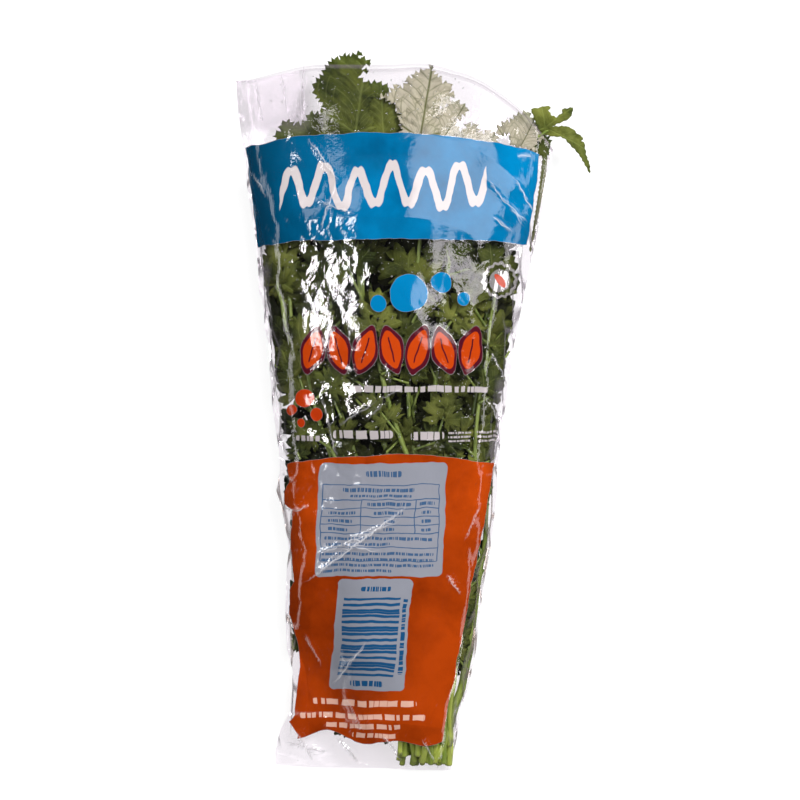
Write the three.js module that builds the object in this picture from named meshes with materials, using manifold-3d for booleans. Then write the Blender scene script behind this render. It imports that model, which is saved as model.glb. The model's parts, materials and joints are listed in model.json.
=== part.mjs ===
// A bunch of cut coriander in its tapered film sleeve, lying on its back.
// Millimetres. +Z is up, +Y runs from the cut stems to the leaf tips, +X is the sleeve's right.
// The origin is on the resting plane, at the middle of the footprint.
//
// sleeve           the film bag: two walls welded along both sides and the hem, open at the mouth
// leafy_stem_N_L   twelve cut stems with their lobed leaves, four layers deep and three abreast
//
// The leaves are laid out in the sleeve's own coordinates:
//   across  -1 at the left weld, 1 at the right weld
//   along    0 at the hem, 1 at the mouth
//   level    0 on the sleeve's back wall, 1 under its front wall
import * as THREE from "three";
import { mergeVertices } from "three/addons/utils/BufferGeometryUtils.js";
import Module from "manifold-3d";

const wasm = await Module();
wasm.setup();

// Sleeve
const HEM_Y = -157; // the welded bottom edge
const MOUTH_Y = 150; // the open top edge, at the middle of the film
const HEM_SLANT = 1.5; // the hem is this much lower at its right end
const WALL = 0.6; // film, several times its real thickness
const SLOT = 0.6; // between the two walls where the sleeve is empty
const WELD = 2.5; // width of the side welds
const HEM_WELD = 0.012; // share of the length that is welded shut
const SIDES = [
  // along, left edge x, right edge x, thickness of what fills the sleeve
  [0.0, -60.9, 17.5, 0.5],
  [0.022, -59.7, 17.6, 13],
  [0.07, -56.5, 19.5, 19],
  [0.17, -55.7, 26, 23],
  [0.3, -57.1, 30.8, 27],
  [0.45, -59.6, 36.1, 32],
  [0.6, -62.6, 41, 36],
  [0.78, -70.4, 49, 37],
  [0.9, -75, 56.2, 29],
  [1.0, -78.1, 61.4, 17],
];
const FOOT_ACROSS = 0.5; // at the hem the stems fill the right half of the sleeve
const SEAM_HEIGHT = 0.36; // side welds, as a share of the thickness beside them
const SEAM_TOP = 11; // and their greatest height
const FLAT_ACROSS = 0.42; // half-width of the stretch that rests on the surface
const RINGS = 15;
const RING_STEPS = 13; // from weld to weld, on each wall

// Bunch
const LAYERS = 4;
const LANES = { left: -1, middle: 0, right: 1 };
const LANE_PITCH = 0.56; // in the across coordinate
const FIRST_LEVEL = 0.1;
const LAYER_PITCH = 0.225;
const LANE_RAISE = { left: 0, middle: 0.14, right: 0.07 }; // so that no two stems share a level
const FOOT_LEVEL = 0.2;
const FOOT_LEVEL_PITCH = 0.2;
const FOOT_X = 1.2; // middle of the cut ends
const FOOT_PITCH = 7.6;
const FOOT_RADIUS = 1.6;
const TIP_RADIUS = 0.85;
const STALK_RADIUS = 0.75;
const BLADE = 0.62; // leaf thickness
const NECK = 0.8; // half-width of a leaf where it meets its stalk
const LEAF_SHARE = 0.235; // a leaflet's length, as a share of the sleeve's width beside it
const FIRST_LEAF = 0.27; // along, where the leaves begin
const LEAF_PITCH = 0.105;
const REACH = 0.88; // leaves stay between the side welds
const STATIONS = [0.06, 0.14, 0.26, 0.4, 0.54, 0.68];
const SIDE_LOBES = [-0.55, 0.45];
const WHOLE_LOBES = [-1.07, 0, 1.07];
// Stems that end elsewhere than their lane: where the tip of the end leaf lies.
const TIPS = {
  "4_left": [-29, 159],
  "4_middle": [9, 151],
  "4_right": [31, 144],
  "2_left": [-56, 150],
  "3_middle": [-9, 153],
};
// The leaf that hangs out of the mouth's right corner, and the stem it grows on: its edge, from the neck
// round the long lobe that curls down, the upper lobe, and the short lobe over the mouth.
const STRAY_STEM = "3_right";
const STRAY_NECK = [57.8, 124];
const STRAY_LEVEL = 10.5;
const STRAY_EDGE = [
  [58.5, 122.7],
  [62.4, 122.2],
  [66.1, 121.2],
  [69, 119.4],
  [72.6, 115.6],
  [75.2, 111.7],
  [78.1, 106.3],
  [77.3, 112.4],
  [75.9, 117.6],
  [72.6, 123.4],
  [68.6, 125.9],
  [62.6, 126],
  [66.8, 128.7],
  [69.2, 130.7],
  [70, 134.2],
  [64.9, 134],
  [61.6, 130],
  [59.7, 130.6],
  [60.2, 132.4],
  [58.4, 134.7],
  [52.8, 132.8],
  [57.1, 125.8],
];

const STEM_GREEN = 0x6f8a35;
const FILM_TINT = 0xece6ef;

const mix = THREE.MathUtils.lerp;
const smooth = THREE.MathUtils.smoothstep; // (x, low, high)

// Seeded random numbers, so that every run lays the same bunch.
function dice(seed) {
  let state = seed;
  return () => {
    state = (state + 0x6d2b79f5) | 0;
    let t = Math.imul(state ^ (state >>> 15), 1 | state);
    t = (t + Math.imul(t ^ (t >>> 7), 61 | t)) ^ t;
    return ((t ^ (t >>> 14)) >>> 0) / 4294967296;
  };
}

// ---- The sleeve's surfaces

// Column 1, 2 or 3 of SIDES at a place along the sleeve.
function side(column, along) {
  const at = THREE.MathUtils.clamp(along, 0, 1);
  const next = Math.max(1, SIDES.findIndex((row) => row[0] >= at));
  const [a, b] = [SIDES[next - 1], SIDES[next]];
  return mix(a[column], b[column], (at - a[0]) / (b[0] - a[0]));
}

const leftOf = (along) => side(1, along);
const rightOf = (along) => side(2, along);
const widthOf = (along) => rightOf(along) - leftOf(along);
const hemY = (across) => HEM_Y - HEM_SLANT * across;
// The mouth runs nearly straight across the left half and drops towards the right weld.
const mouthY = (across) => MOUTH_Y + 3 - 6 * smooth(-across, 0.5, 1) - 37 * Math.max(0, across) ** 2.6;
const xOf = (across, along) => mix(leftOf(along), rightOf(along), (across + 1) / 2);
const yOf = (across, along) => mix(hemY(across), mouthY(across), along);

// How full the sleeve is: 1 over the middle of the bunch, 0 at the welds.
function fullness(across, along) {
  const foot = 1 - smooth(along, 0, 0.3);
  const middle = FOOT_ACROSS * foot;
  const out = across < middle ? (middle - across) / (1 + middle) : (across - middle) / (1 - middle);
  return Math.max(0, 1 - out ** 2.3) ** mix(0.62, across < middle ? 2.6 : 0.8, foot);
}

const thickness = (across, along) => 2 * WALL + SLOT + side(3, along) * fullness(across, along);

// Underside: flat in the middle, rising to the welds and a little towards the mouth.
function backZ(across, along) {
  const seam = Math.min(SEAM_TOP, SEAM_HEIGHT * side(3, along));
  const rise = smooth(Math.abs(across), FLAT_ACROSS, 1.08);
  return seam * rise + 2.5 * smooth(along, 0.8, 1);
}

const frontZ = (across, along) => backZ(across, along) + thickness(across, along);

// One closed ring of the sleeve, seen along +Y: over the front wall from left weld to right weld, and back.
function ring(along, inset) {
  const points = [];
  const put = (across, z) => {
    const held = across * (1 - (2 * inset * WELD) / widthOf(along));
    points.push(new THREE.Vector3(xOf(held, along), yOf(held, along), z(held)));
  };
  const middle = (across) => (backZ(across, along) + frontZ(across, along)) / 2;
  for (let i = 0; i <= RING_STEPS; i++) {
    const across = -Math.cos((Math.PI * i) / RING_STEPS);
    const atWeld = i === 0 || i === RING_STEPS;
    put(across, atWeld ? middle : (a) => frontZ(a, along) - inset * WALL);
  }
  for (let i = RING_STEPS - 1; i > 0; i--) {
    const across = -Math.cos((Math.PI * i) / RING_STEPS);
    put(across, (a) => backZ(a, along) + inset * WALL);
  }
  return points;
}

function sleeveGeometry() {
  const count = 2 * RING_STEPS;
  const positions = [];
  const faces = [];
  const add = (points) => {
    points.forEach((p) => positions.push(p.x, p.y, p.z));
    return positions.length / 3 - count;
  };
  const quad = (a, b, c, d) => faces.push(a, b, c, a, c, d);
  const wrap = (lower, upper) => {
    for (let i = 0; i < count; i++) {
      const j = (i + 1) % count;
      quad(lower + i, lower + j, upper + j, upper + i);
    }
  };
  // Closes a flat ring across its own thickness.
  const close = (start, outwards) => {
    for (let i = 0; i < RING_STEPS; i++) {
      const [a, b] = [start + i, start + i + 1];
      const [c, d] = [start + ((count - i - 1) % count), start + ((count - i) % count)];
      const loop = i === 0 ? [a, b, c] : i === RING_STEPS - 1 ? [a, b, d] : [a, b, c, d];
      const turned = outwards ? [...loop].reverse() : loop;
      faces.push(turned[0], turned[1], turned[2]);
      if (turned.length === 4) faces.push(turned[0], turned[2], turned[3]);
    }
  };
  const stations = [0, 0.022, 0.045];
  for (let i = 1; i <= RINGS - 3; i++) stations.push(mix(0.07, 1, (i - 1) / (RINGS - 4)));
  const outer = stations.map((along) => add(ring(along, 0)));
  const inner = [HEM_WELD, ...stations.slice(1)].map((along) => add(ring(along, 1)));
  for (let i = 1; i < outer.length; i++) {
    wrap(outer[i - 1], outer[i]);
    wrap(inner[i], inner[i - 1]);
  }
  wrap(outer.at(-1), inner.at(-1)); // the mouth's rim
  close(outer[0], true);
  close(inner[0], false);
  return geometryOf(positions, faces);
}

function geometryOf(positions, faces) {
  return new THREE.BufferGeometry()
    .setAttribute("position", new THREE.Float32BufferAttribute(positions, 3))
    .setIndex(faces);
}

// ---- Leaves and stems

// Across and along of a point of the plan.
function sleevePlace(x, y) {
  let [across, along] = [0, 0.5];
  for (let i = 0; i < 6; i++) {
    along = (y - hemY(across)) / (mouthY(across) - hemY(across));
    across = THREE.MathUtils.clamp((2 * (x - leftOf(along))) / widthOf(along) - 1, -1.3, 1.6);
  }
  return [across, along];
}

// A point of the plan at a level of the bunch. Inside the sleeve it is held between the welds.
function inBunch(x, y, level) {
  const [across, along] = sleevePlace(x, y);
  const free = 0.6;
  const over = Math.abs(across) - free;
  const held = over > 0 ? free + (REACH - free) * Math.tanh(over / (REACH - free)) : Math.abs(across);
  const inside = Math.sign(across) * held;
  const out = smooth(along, 0.97, 1.06);
  const [low, high] = [backZ(inside, along) + WALL, frontZ(inside, along) - WALL];
  const heldX = xOf(inside, along);
  return new THREE.Vector3(mix(heldX, x, out), y, mix(low, high, level));
}

// A lobed leaflet, its rib along +Y from the neck: rounded lobes fan out, each with blunt teeth.
function leafletOutline(size, lobes) {
  const polar = (angle, r) => new THREE.Vector2(Math.sin(angle) * r, size * 0.16 + Math.cos(angle) * r);
  const edge = [];
  lobes.forEach((middle, i) => {
    const reach = size * (0.86 - 0.14 * Math.abs(middle) ** 1.5);
    const half = 0.3 + 0.05 * Math.abs(middle);
    const teeth = middle === 0 ? [-1, 0, 1] : [-1, 1];
    teeth.forEach((tooth, t) => {
      const drop = middle === 0 ? 0.16 * Math.abs(tooth) : 0.04;
      edge.push(polar(middle + half * tooth, reach * (1 - drop)));
      const next = teeth[t + 1];
      if (next !== undefined) edge.push(polar(middle + (half * (tooth + next)) / 2, reach * 0.84));
    });
    if (i < lobes.length - 1) edge.push(polar((middle + lobes[i + 1]) / 2, size * 0.36));
  });
  const shoulder = new THREE.Vector2(size * 0.2, size * 0.14);
  return [
    new THREE.Vector2(-NECK, 0),
    new THREE.Vector2(-shoulder.x, shoulder.y),
    ...edge,
    shoulder,
    new THREE.Vector2(NECK, 0),
  ];
}

const turned = (points, angle, by) =>
  points.map((p) => p.clone().rotateAround(new THREE.Vector2(), angle).add(by));

// Three leaflets on one rib, cut to the rib between them.
function tripleOutline(size) {
  const left = turned(leafletOutline(size * 0.62, SIDE_LOBES), 1.2, new THREE.Vector2(-NECK, size * 0.2));
  const top = turned(leafletOutline(size * 0.6, WHOLE_LOBES), 0, new THREE.Vector2(0, size * 0.4));
  const right = left.map((p) => new THREE.Vector2(-p.x, p.y)).reverse();
  return [new THREE.Vector2(-NECK, 0), ...left, ...top, ...right, new THREE.Vector2(NECK, 0)];
}

// A leaf of even thickness: the outline's triangles on both faces, with a wall round the edge.
function blade(outline, place) {
  const edge = THREE.ShapeUtils.isClockWise(outline) ? [...outline].reverse() : outline;
  const count = edge.length;
  const spots = edge.map(place);
  const positions = [];
  for (const half of [BLADE / 2, -BLADE / 2]) spots.forEach((p) => positions.push(p.x, p.y, p.z + half));
  const faces = [];
  for (const [a, b, c] of THREE.ShapeUtils.triangulateShape(edge, [])) {
    faces.push(a, b, c, count + c, count + b, count + a);
  }
  for (let i = 0; i < count; i++) {
    const j = (i + 1) % count;
    faces.push(count + i, count + j, j, count + i, j, i);
  }
  return geometryOf(positions, faces);
}

// A tapering round stem through the points.
function stem(points, firstRadius, lastRadius, sides) {
  const curve = new THREE.CatmullRomCurve3(points);
  const steps = points.length - 1;
  const positions = [];
  const faces = [];
  for (let i = 0; i <= steps; i++) {
    const at = curve.getPoint(i / steps);
    const ahead = curve.getTangent(i / steps);
    const across = new THREE.Vector3(0, 0, 1).cross(ahead).normalize();
    const up = ahead.clone().cross(across);
    const radius = mix(firstRadius, lastRadius, i / steps);
    for (let s = 0; s < sides; s++) {
      const turn = (2 * Math.PI * (s + 0.5)) / sides;
      const p = at.clone().addScaledVector(across, radius * Math.cos(turn));
      p.addScaledVector(up, radius * Math.sin(turn));
      positions.push(p.x, p.y, p.z);
    }
  }
  for (let i = 0; i < steps; i++)
    for (let s = 0; s < sides; s++) {
      const [a, b] = [i * sides + s, i * sides + ((s + 1) % sides)];
      faces.push(a, b, b + sides, a, b + sides, a + sides);
    }
  for (let s = 1; s < sides - 1; s++) {
    faces.push(0, s + 1, s);
    faces.push(steps * sides, steps * sides + s, steps * sides + s + 1);
  }
  return geometryOf(positions, faces);
}

function solidOf(geometry) {
  const merged = mergeVertices(geometry, 1e-4);
  return new wasm.Manifold(
    new wasm.Mesh({
      numProp: 3,
      vertProperties: new Float32Array(merged.attributes.position.array),
      triVerts: new Uint32Array(merged.index.array),
    }),
  );
}

function fused(geometries) {
  const whole = geometries.map(solidOf).reduce((a, b) => a.add(b));
  const mesh = whole.getMesh();
  return geometryOf(Array.from(mesh.vertProperties), Array.from(mesh.triVerts));
}

// One cut stem: a tapering stalk from the foot to its lane, leaflets on short stalks to both sides, and a
// leaf of three leaflets at the tip.
function leafyStem(layer, laneName, tip, stray) {
  const lane = LANES[laneName];
  const random = dice(1000 * (layer + 1) + 10 * (lane + 2));
  const between = (low, high) => mix(low, high, random());
  const footLevel = FOOT_LEVEL + FOOT_LEVEL_PITCH * layer;
  const leafLevel = FIRST_LEVEL + LAYER_PITCH * layer + LANE_RAISE[laneName];
  const level = (along) => mix(footLevel, leafLevel, smooth(along, 0.06, 0.3));
  const footX = FOOT_X + FOOT_PITCH * (lane + (layer % 2 ? 0.5 : 0));
  const sway = between(-3, 3);
  const tipSize = LEAF_SHARE * widthOf(0.85) * 1.5;
  const ownEnd = between(0.8, 0.84);
  const tipAlong = tip ? sleevePlace(tip[0], tip[1] - tipSize * 1.02)[1] : ownEnd;
  const plan = (along) => {
    const across = LANE_PITCH * lane;
    const y = yOf(across, along);
    const inLane = xOf(across, along) + sway * Math.sin(7 * along);
    const aimed = tip ? mix(inLane, tip[0], smooth(along, 0.35, tipAlong)) : inLane;
    return new THREE.Vector2(mix(footX, aimed, smooth(along, 0.02, 0.62)), y);
  };

  const stations = [between(0.028, 0.036), ...STATIONS, tipAlong + 0.01];
  const joints = stations.map((along) => {
    const p = plan(along);
    return inBunch(p.x, p.y, level(along));
  });
  const onStem = (along) => {
    const i = stations.findIndex((s) => s >= along);
    return joints[i - 1].clone().lerp(joints[i], (along - stations[i - 1]) / (stations[i] - stations[i - 1]));
  };
  const pieces = [stem(joints, FOOT_RADIUS, TIP_RADIUS, 6)];

  const grow = (along, turn, size, stalk, outline) => {
    const root = onStem(along);
    const ahead = plan(along + 0.01).sub(plan(along)).normalize();
    const direction = ahead.rotateAround(new THREE.Vector2(), turn);
    const neck = new THREE.Vector2(root.x, root.y).addScaledVector(direction, stalk);
    const heading = direction.angle() - Math.PI / 2;
    const arch = between(-0.02, 0.02);
    const place = (p) => {
      const q = p.clone().rotateAround(new THREE.Vector2(), heading).add(neck);
      return inBunch(q.x, q.y, level(along) + arch * (p.length() / size) ** 2);
    };
    const bite = place(new THREE.Vector2(0, STALK_RADIUS * 2));
    pieces.push(blade(outline, place));
    pieces.push(stem([root, bite], STALK_RADIUS, STALK_RADIUS, 4));
  };

  let hand = random() < 0.5 ? -1 : 1;
  const firstLeaf = FIRST_LEAF + between(0, 0.08);
  for (let along = firstLeaf; along < tipAlong - 0.04; along += LEAF_PITCH * between(0.9, 1.1)) {
    const size = LEAF_SHARE * widthOf(along) * between(0.9, 1.08);
    grow(along, hand * between(0.6, 0.85), size, size * 0.4, leafletOutline(size, WHOLE_LOBES));
    hand = -hand;
  }
  grow(tipAlong, 0, tipSize, 0, tripleOutline(tipSize));
  if (stray) pieces.push(...strayLeaf(onStem(0.66)));
  return fused(pieces);
}

// A leaf on a long stalk that leaves the sleeve at the mouth's right corner and curls over its edge.
function strayLeaf(root) {
  const neck = new THREE.Vector2(...STRAY_NECK);
  const place = (p) => {
    const out = p.distanceTo(neck);
    return new THREE.Vector3(p.x, p.y, STRAY_LEVEL + 5 * Math.sin(out / 8) - 0.008 * out ** 2);
  };
  const bite = new THREE.Vector2(60.2, 124.4);
  const stalk = [root, inBunch(44, 104, 0.6), inBunch(52, 119, 0.55), place(neck), place(bite)];
  const edge = STRAY_EDGE.map(([x, y]) => new THREE.Vector2(x, y));
  return [blade(edge, place), stem(stalk, STALK_RADIUS, STALK_RADIUS, 5)];
}

// ---- The bunch

const film = new THREE.MeshStandardMaterial({
  color: FILM_TINT,
  roughness: 0.12,
  metalness: 0,
  transparent: true,
  opacity: 0.3,
});
const herb = new THREE.MeshStandardMaterial({ color: STEM_GREEN, roughness: 0.6, metalness: 0 });

const bunch = new THREE.Group();

function addPiece(name, geometry, material) {
  const mesh = new THREE.Mesh(geometry, material);
  mesh.name = name;
  bunch.add(mesh);
}

addPiece("sleeve", sleeveGeometry(), film);
for (let layer = 0; layer < LAYERS; layer++)
  for (const laneName of Object.keys(LANES)) {
    const key = `${layer + 1}_${laneName}`;
    addPiece(`leafy_stem_${key}`, leafyStem(layer, laneName, TIPS[key], key === STRAY_STEM), herb);
  }

export default bunch;
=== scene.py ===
# %% [markdown]
# # A bunch of coriander in a printed film sleeve
# Coriander is sold as a bunch of cut stems in a tapered bag of clear film. The bag is welded down both
# sides and across the bottom, and it is open where the leaves are. This lesson dresses a measured frame
# of that bunch: it makes the film with its crumples and print, then the stems, the leaves and the dew.
# Everything is worked out in millimetres and turned into metres only when a mesh is made.

import json
import math

import bpy
import numpy as np
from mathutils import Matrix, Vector
from mathutils.geometry import delaunay_2d_cdt

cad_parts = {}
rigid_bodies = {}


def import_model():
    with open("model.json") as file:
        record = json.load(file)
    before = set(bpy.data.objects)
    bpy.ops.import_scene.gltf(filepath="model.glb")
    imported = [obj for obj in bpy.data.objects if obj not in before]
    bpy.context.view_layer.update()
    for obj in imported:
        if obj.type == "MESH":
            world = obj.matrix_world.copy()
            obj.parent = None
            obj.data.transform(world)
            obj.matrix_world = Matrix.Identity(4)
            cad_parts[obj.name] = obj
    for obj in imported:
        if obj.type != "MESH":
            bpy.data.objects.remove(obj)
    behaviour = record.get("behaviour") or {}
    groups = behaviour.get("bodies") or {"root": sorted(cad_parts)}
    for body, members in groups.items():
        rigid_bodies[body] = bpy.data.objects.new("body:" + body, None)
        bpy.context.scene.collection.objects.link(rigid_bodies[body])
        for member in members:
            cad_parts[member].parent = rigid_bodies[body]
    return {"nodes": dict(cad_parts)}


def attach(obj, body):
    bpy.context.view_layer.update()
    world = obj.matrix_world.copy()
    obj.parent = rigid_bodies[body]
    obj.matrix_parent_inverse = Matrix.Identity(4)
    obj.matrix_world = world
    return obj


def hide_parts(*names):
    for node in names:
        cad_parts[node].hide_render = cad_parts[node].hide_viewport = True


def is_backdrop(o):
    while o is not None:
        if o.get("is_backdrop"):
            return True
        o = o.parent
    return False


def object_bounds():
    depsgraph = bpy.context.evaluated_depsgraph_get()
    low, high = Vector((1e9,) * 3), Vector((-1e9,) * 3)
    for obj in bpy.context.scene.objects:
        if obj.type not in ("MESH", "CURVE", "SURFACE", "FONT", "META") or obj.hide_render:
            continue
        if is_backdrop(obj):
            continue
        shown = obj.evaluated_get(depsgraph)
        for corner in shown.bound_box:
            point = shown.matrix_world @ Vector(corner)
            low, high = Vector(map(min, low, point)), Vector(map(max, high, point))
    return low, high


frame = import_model()
cad_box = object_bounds()
MM = 0.001
STEM_NODES = [name for name in frame["nodes"] if name.startswith("leafy_stem")]

# %% [markdown]
# ## The camera
# The bunch lies on its back and is looked at from straight above, with the leaves at the top of the
# picture. A long lens far away keeps the perspective gentle, so the film's outline stays true.

# %% Camera
CAMERA_HEIGHT = 1.5
FRAME_WIDTH = 0.352  # what the picture spans, level with the side welds
WELD_LEVEL = 0.010
SENSOR_WIDTH = 36

camera_data = bpy.data.cameras.new("camera")
camera = bpy.data.objects.new("camera", camera_data)
bpy.context.collection.objects.link(camera)
camera.location = (-0.0059, 0.0059, CAMERA_HEIGHT)
camera_data.sensor_width = SENSOR_WIDTH
camera_data.lens = SENSOR_WIDTH * (CAMERA_HEIGHT - WELD_LEVEL) / FRAME_WIDTH
camera_data.clip_end = 20
bpy.context.scene.camera = camera
print("lens", round(camera_data.lens, 1), "mm")

# %% [markdown]
# ## The shape of the sleeve
# Every piece of this object lives between the sleeve's two walls, so the walls come first, as plain
# functions. A place in the sleeve has three numbers: across, from -1 at the left weld to 1 at the right
# one; along, from 0 at the hem to 1 at the mouth; and level, from 0 on the back wall to 1 under the
# front wall. Film, stems and leaves all use them, so nothing can end up outside the bag by accident.

# %% Sleeve functions
ALONG, LEFT, RIGHT, FILL = np.array(
    [
        # along, left edge x, right edge x, thickness of what fills the sleeve
        (0.0, -60.9, 17.5, 0.5),
        (0.022, -59.7, 17.6, 13),
        (0.07, -56.5, 19.5, 19),
        (0.17, -55.7, 26, 23),
        (0.3, -57.1, 30.8, 27),
        (0.45, -59.6, 36.1, 32),
        (0.6, -62.6, 41, 36),
        (0.78, -70.4, 49, 37),
        (0.9, -75, 56.2, 29),
        (1.0, -78.1, 61.4, 17),
    ]
).T
HEM_Y, HEM_SLANT = -157, 1.5
MOUTH_Y, MOUTH_DIP_LEFT, MOUTH_DROP_RIGHT = 153, 6, 37
SEAM_SHARE, SEAM_TOP = 0.36, 11  # height of a side weld: its share of the filling, and the most it can be
MOUTH_LIFT = 2.5  # the back wall's rise at the mouth
LEAST_ROOM = 1.8  # between the walls where nothing fills the sleeve
PLACE_ROUNDS = 8  # the ends slant, so across and along are found by turns


def smooth(x, low, high):
    """Runs softly from 0 to 1 between two limits."""
    t = np.clip((x - low) / (high - low), 0, 1)
    return t * t * (3 - 2 * t)


def plateau(x, rise, level, edge, end):
    """1 from level to edge, falling softly to 0 at rise on one side and at end on the other."""
    return smooth(x, rise, level) * (1 - smooth(x, edge, end))


def bell(x, middle, width):
    """A smooth bump of height 1."""
    return np.exp(-(((x - middle) / width) ** 2))


def mix(a, b, t):
    return a + (b - a) * t


def hem_y(across):
    return HEM_Y - HEM_SLANT * across


def mouth_y(across):
    dip = MOUTH_DIP_LEFT * smooth(-across, 0.5, 1)
    return MOUTH_Y - dip - MOUTH_DROP_RIGHT * np.maximum(0, across) ** 2.6


def plan_x(across, along):
    return mix(np.interp(along, ALONG, LEFT), np.interp(along, ALONG, RIGHT), (across + 1) / 2)


def plan_y(across, along):
    return mix(hem_y(across), mouth_y(across), along)


def fullness(across, along):
    """How full the sleeve is, from 0 at the welds to 1. Near the hem the stems fill only its right half."""
    foot = 1 - smooth(along, 0, 0.3)
    middle = 0.5 * foot
    left = across < middle
    out = np.where(left, (middle - across) / (1 + middle), (across - middle) / (1 - middle))
    power = mix(0.62, np.where(left, 2.6, 0.8), foot)
    return np.maximum(0, 1 - np.clip(out, 0, 1) ** 2.3) ** power


def back_z(across, along):
    """Height of the back wall, which is flat in the middle and rises to the welds."""
    seam = np.minimum(SEAM_TOP, SEAM_SHARE * np.interp(along, ALONG, FILL))
    return seam * smooth(np.abs(across), 0.42, 1.08) + MOUTH_LIFT * smooth(along, 0.8, 1)


def front_z(across, along):
    return back_z(across, along) + LEAST_ROOM + np.interp(along, ALONG, FILL) * fullness(across, along)


def sleeve_place(x, y):
    """Across and along of points of the plan."""
    across = np.zeros_like(x)
    for _ in range(PLACE_ROUNDS):
        along = (y - hem_y(across)) / (mouth_y(across) - hem_y(across))
        low, high = np.interp(along, ALONG, LEFT), np.interp(along, ALONG, RIGHT)
        across = np.clip(2 * (x - low) / (high - low) - 1, -1.3, 1.6)
    return across, along


print("thickest", round(float(front_z(0.0, 0.7)), 1), "mm")

# %% [markdown]
# ## Crumples
# Film doesn't wrinkle in soft waves. It breaks into flat facets that meet at sharp creases, because it
# bends easily but hardly stretches. A lattice of triangles with a random height at each corner has just
# that look, and bending the lattice a little first hides its regularity. Several sizes are added up, and
# a few long creases are drawn where a packer's fingers would leave them.

# %% Facets and creases
LATTICE = 128  # cells of random heights before they repeat
TURN = 6.28


def facets(x, y, cell, seed, angle, stretch=1.0):
    """Heights from -1 to 1 over a bent triangle lattice, flat inside each triangle."""
    dice = np.random.default_rng(seed)
    table = dice.uniform(-1, 1, (LATTICE, LATTICE))
    bend = 0.32 * cell
    phases = dice.uniform(0, TURN, 4)
    bent_x = x + bend * (np.sin(y / (1.7 * cell) + phases[0]) + np.sin((x + y) / (2.9 * cell) + phases[1]))
    bent_y = y + bend * (np.sin(x / (1.5 * cell) + phases[2]) + np.sin((x - y) / (3.1 * cell) + phases[3]))
    bent_y = bent_y / stretch
    cosine, sine = math.cos(angle), math.sin(angle)
    up = (-sine * bent_x + cosine * bent_y) / (0.87 * cell)
    right = (cosine * bent_x + sine * bent_y) / cell - up / 2
    column, row = np.floor(right).astype(int), np.floor(up).astype(int)
    right, up = right - column, up - row
    # The heights at the four corners of the cell.
    low_left, low_right, high_left, high_right = (
        table[(column + i) % LATTICE, (row + j) % LATTICE] for i, j in ((0, 0), (1, 0), (0, 1), (1, 1))
    )
    near = low_left + right * (low_right - low_left) + up * (high_left - low_left)
    far = high_right + (1 - right) * (high_left - high_right) + (1 - up) * (low_right - high_right)
    return np.where(right + up < 1, near, far)


def along_line(x, y, start, end):
    """How far along a line each point lies, how far to its right, and the line's length."""
    (x0, y0), (x1, y1) = start, end
    length = math.hypot(x1 - x0, y1 - y0)
    ux, uy = (x1 - x0) / length, (y1 - y0) / length
    return (x - x0) * ux + (y - y0) * uy, (x - x0) * uy - (y - y0) * ux, length


def crease(x, y, start, end, height, width):
    """A sharp ridge along a line that fades out at both ends."""
    run, aside, length = along_line(x, y, start, end)
    ends = plateau(run, -0.05 * length, 0.25 * length, 0.75 * length, 1.05 * length)
    return height * ends * np.exp(-np.abs(aside) / width)


print("facets of", [round(float(facets(x, 0.0, 11, 12, 1.1)), 2) for x in range(0, 20, 4)], "across 16 mm")

# %% Crumples


CREASES = [
    # start, end, height, width
    ((-49, -75), (-1, -39), 0.8, 1.1),
    ((-43, -62), (-5, -46), 0.55, 0.9),
    ((-34, -57), (-14, -60), 0.5, 0.9),
    ((-36, -120), (-20, -99), 0.6, 0.8),
    ((-57, -41), (-52, -43), 0.6, 0.8),
    ((-53, -43), (-46, -40), 0.6, 0.8),
    ((-58, -26), (-52, -30), 0.5, 0.8),
    ((-34, -6), (-15, 6), 0.6, 0.8),
    ((-16, 6), (-4, 11), 0.5, 0.7),
    ((-21, -3), (-12, 5), 0.5, 0.7),
    ((-40, 8), (-36, -8), 0.9, 1.2),
    ((-37, -6), (-33, -19), 0.7, 1.0),
    ((-13, 22), (-10, 13), 0.5, 0.6),
    ((34, 28), (42, 10), 0.7, 0.9),
    ((32, 7), (39, -6), 0.6, 0.9),
    ((-66, 58), (-61, 38), 0.7, 1.0),
    ((-64, 24), (-58, 2), 0.7, 1.0),
    ((53, 74), (49, 52), 0.8, 1.0),
    ((34, 86), (43, 79), 0.6, 0.7),
    ((31, 103), (49, 81), 0.5, 0.9),
    ((39, 94), (50, 83), 0.5, 0.7),
    ((43, 104), (54, 86), 0.6, 0.8),
    ((54, 87), (57, 76), 0.6, 0.8),
    ((45, 112), (52, 113), 0.6, 0.9),
    ((-71, 106), (-64, 94), 0.5, 0.8),
    ((-43, 93), (-25, 86), 0.5, 0.8),
    ((-46, 120), (-32, 100), 0.6, 1.2),
    ((-33, 102), (-41, 78), 0.6, 1.1),
    ((-48, 154), (-48, 128), 0.9, 1.3),
    ((-69, 146), (-66, 126), 0.7, 1.2),
    ((-58, 150), (-55, 132), 0.5, 1.2),
    ((44, 137), (57, 125), 0.9, 1.1),
    ((24, -121), (17, -134), 0.6, 0.8),
    ((14, -70), (21, -79), 0.5, 0.8),
    ((22, -56), (30, -38), 0.4, 0.9),
    ((-57, -145), (-37, -150), 0.7, 1.0),
    ((-52, -140), (-44, -154), 0.6, 0.9),
    ((-34, -142), (-24, -154), 0.6, 0.9),
    ((-14, -140), (-4, -154), 0.7, 0.9),
    ((4, -142), (10, -155), 0.6, 0.8),
    ((-30, -124), (-22, -140), 0.4, 0.9),
    ((-48, -96), (-40, -112), 0.4, 0.9),
]
FAR = 9.0  # a distance in mm at which no crease shows
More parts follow.
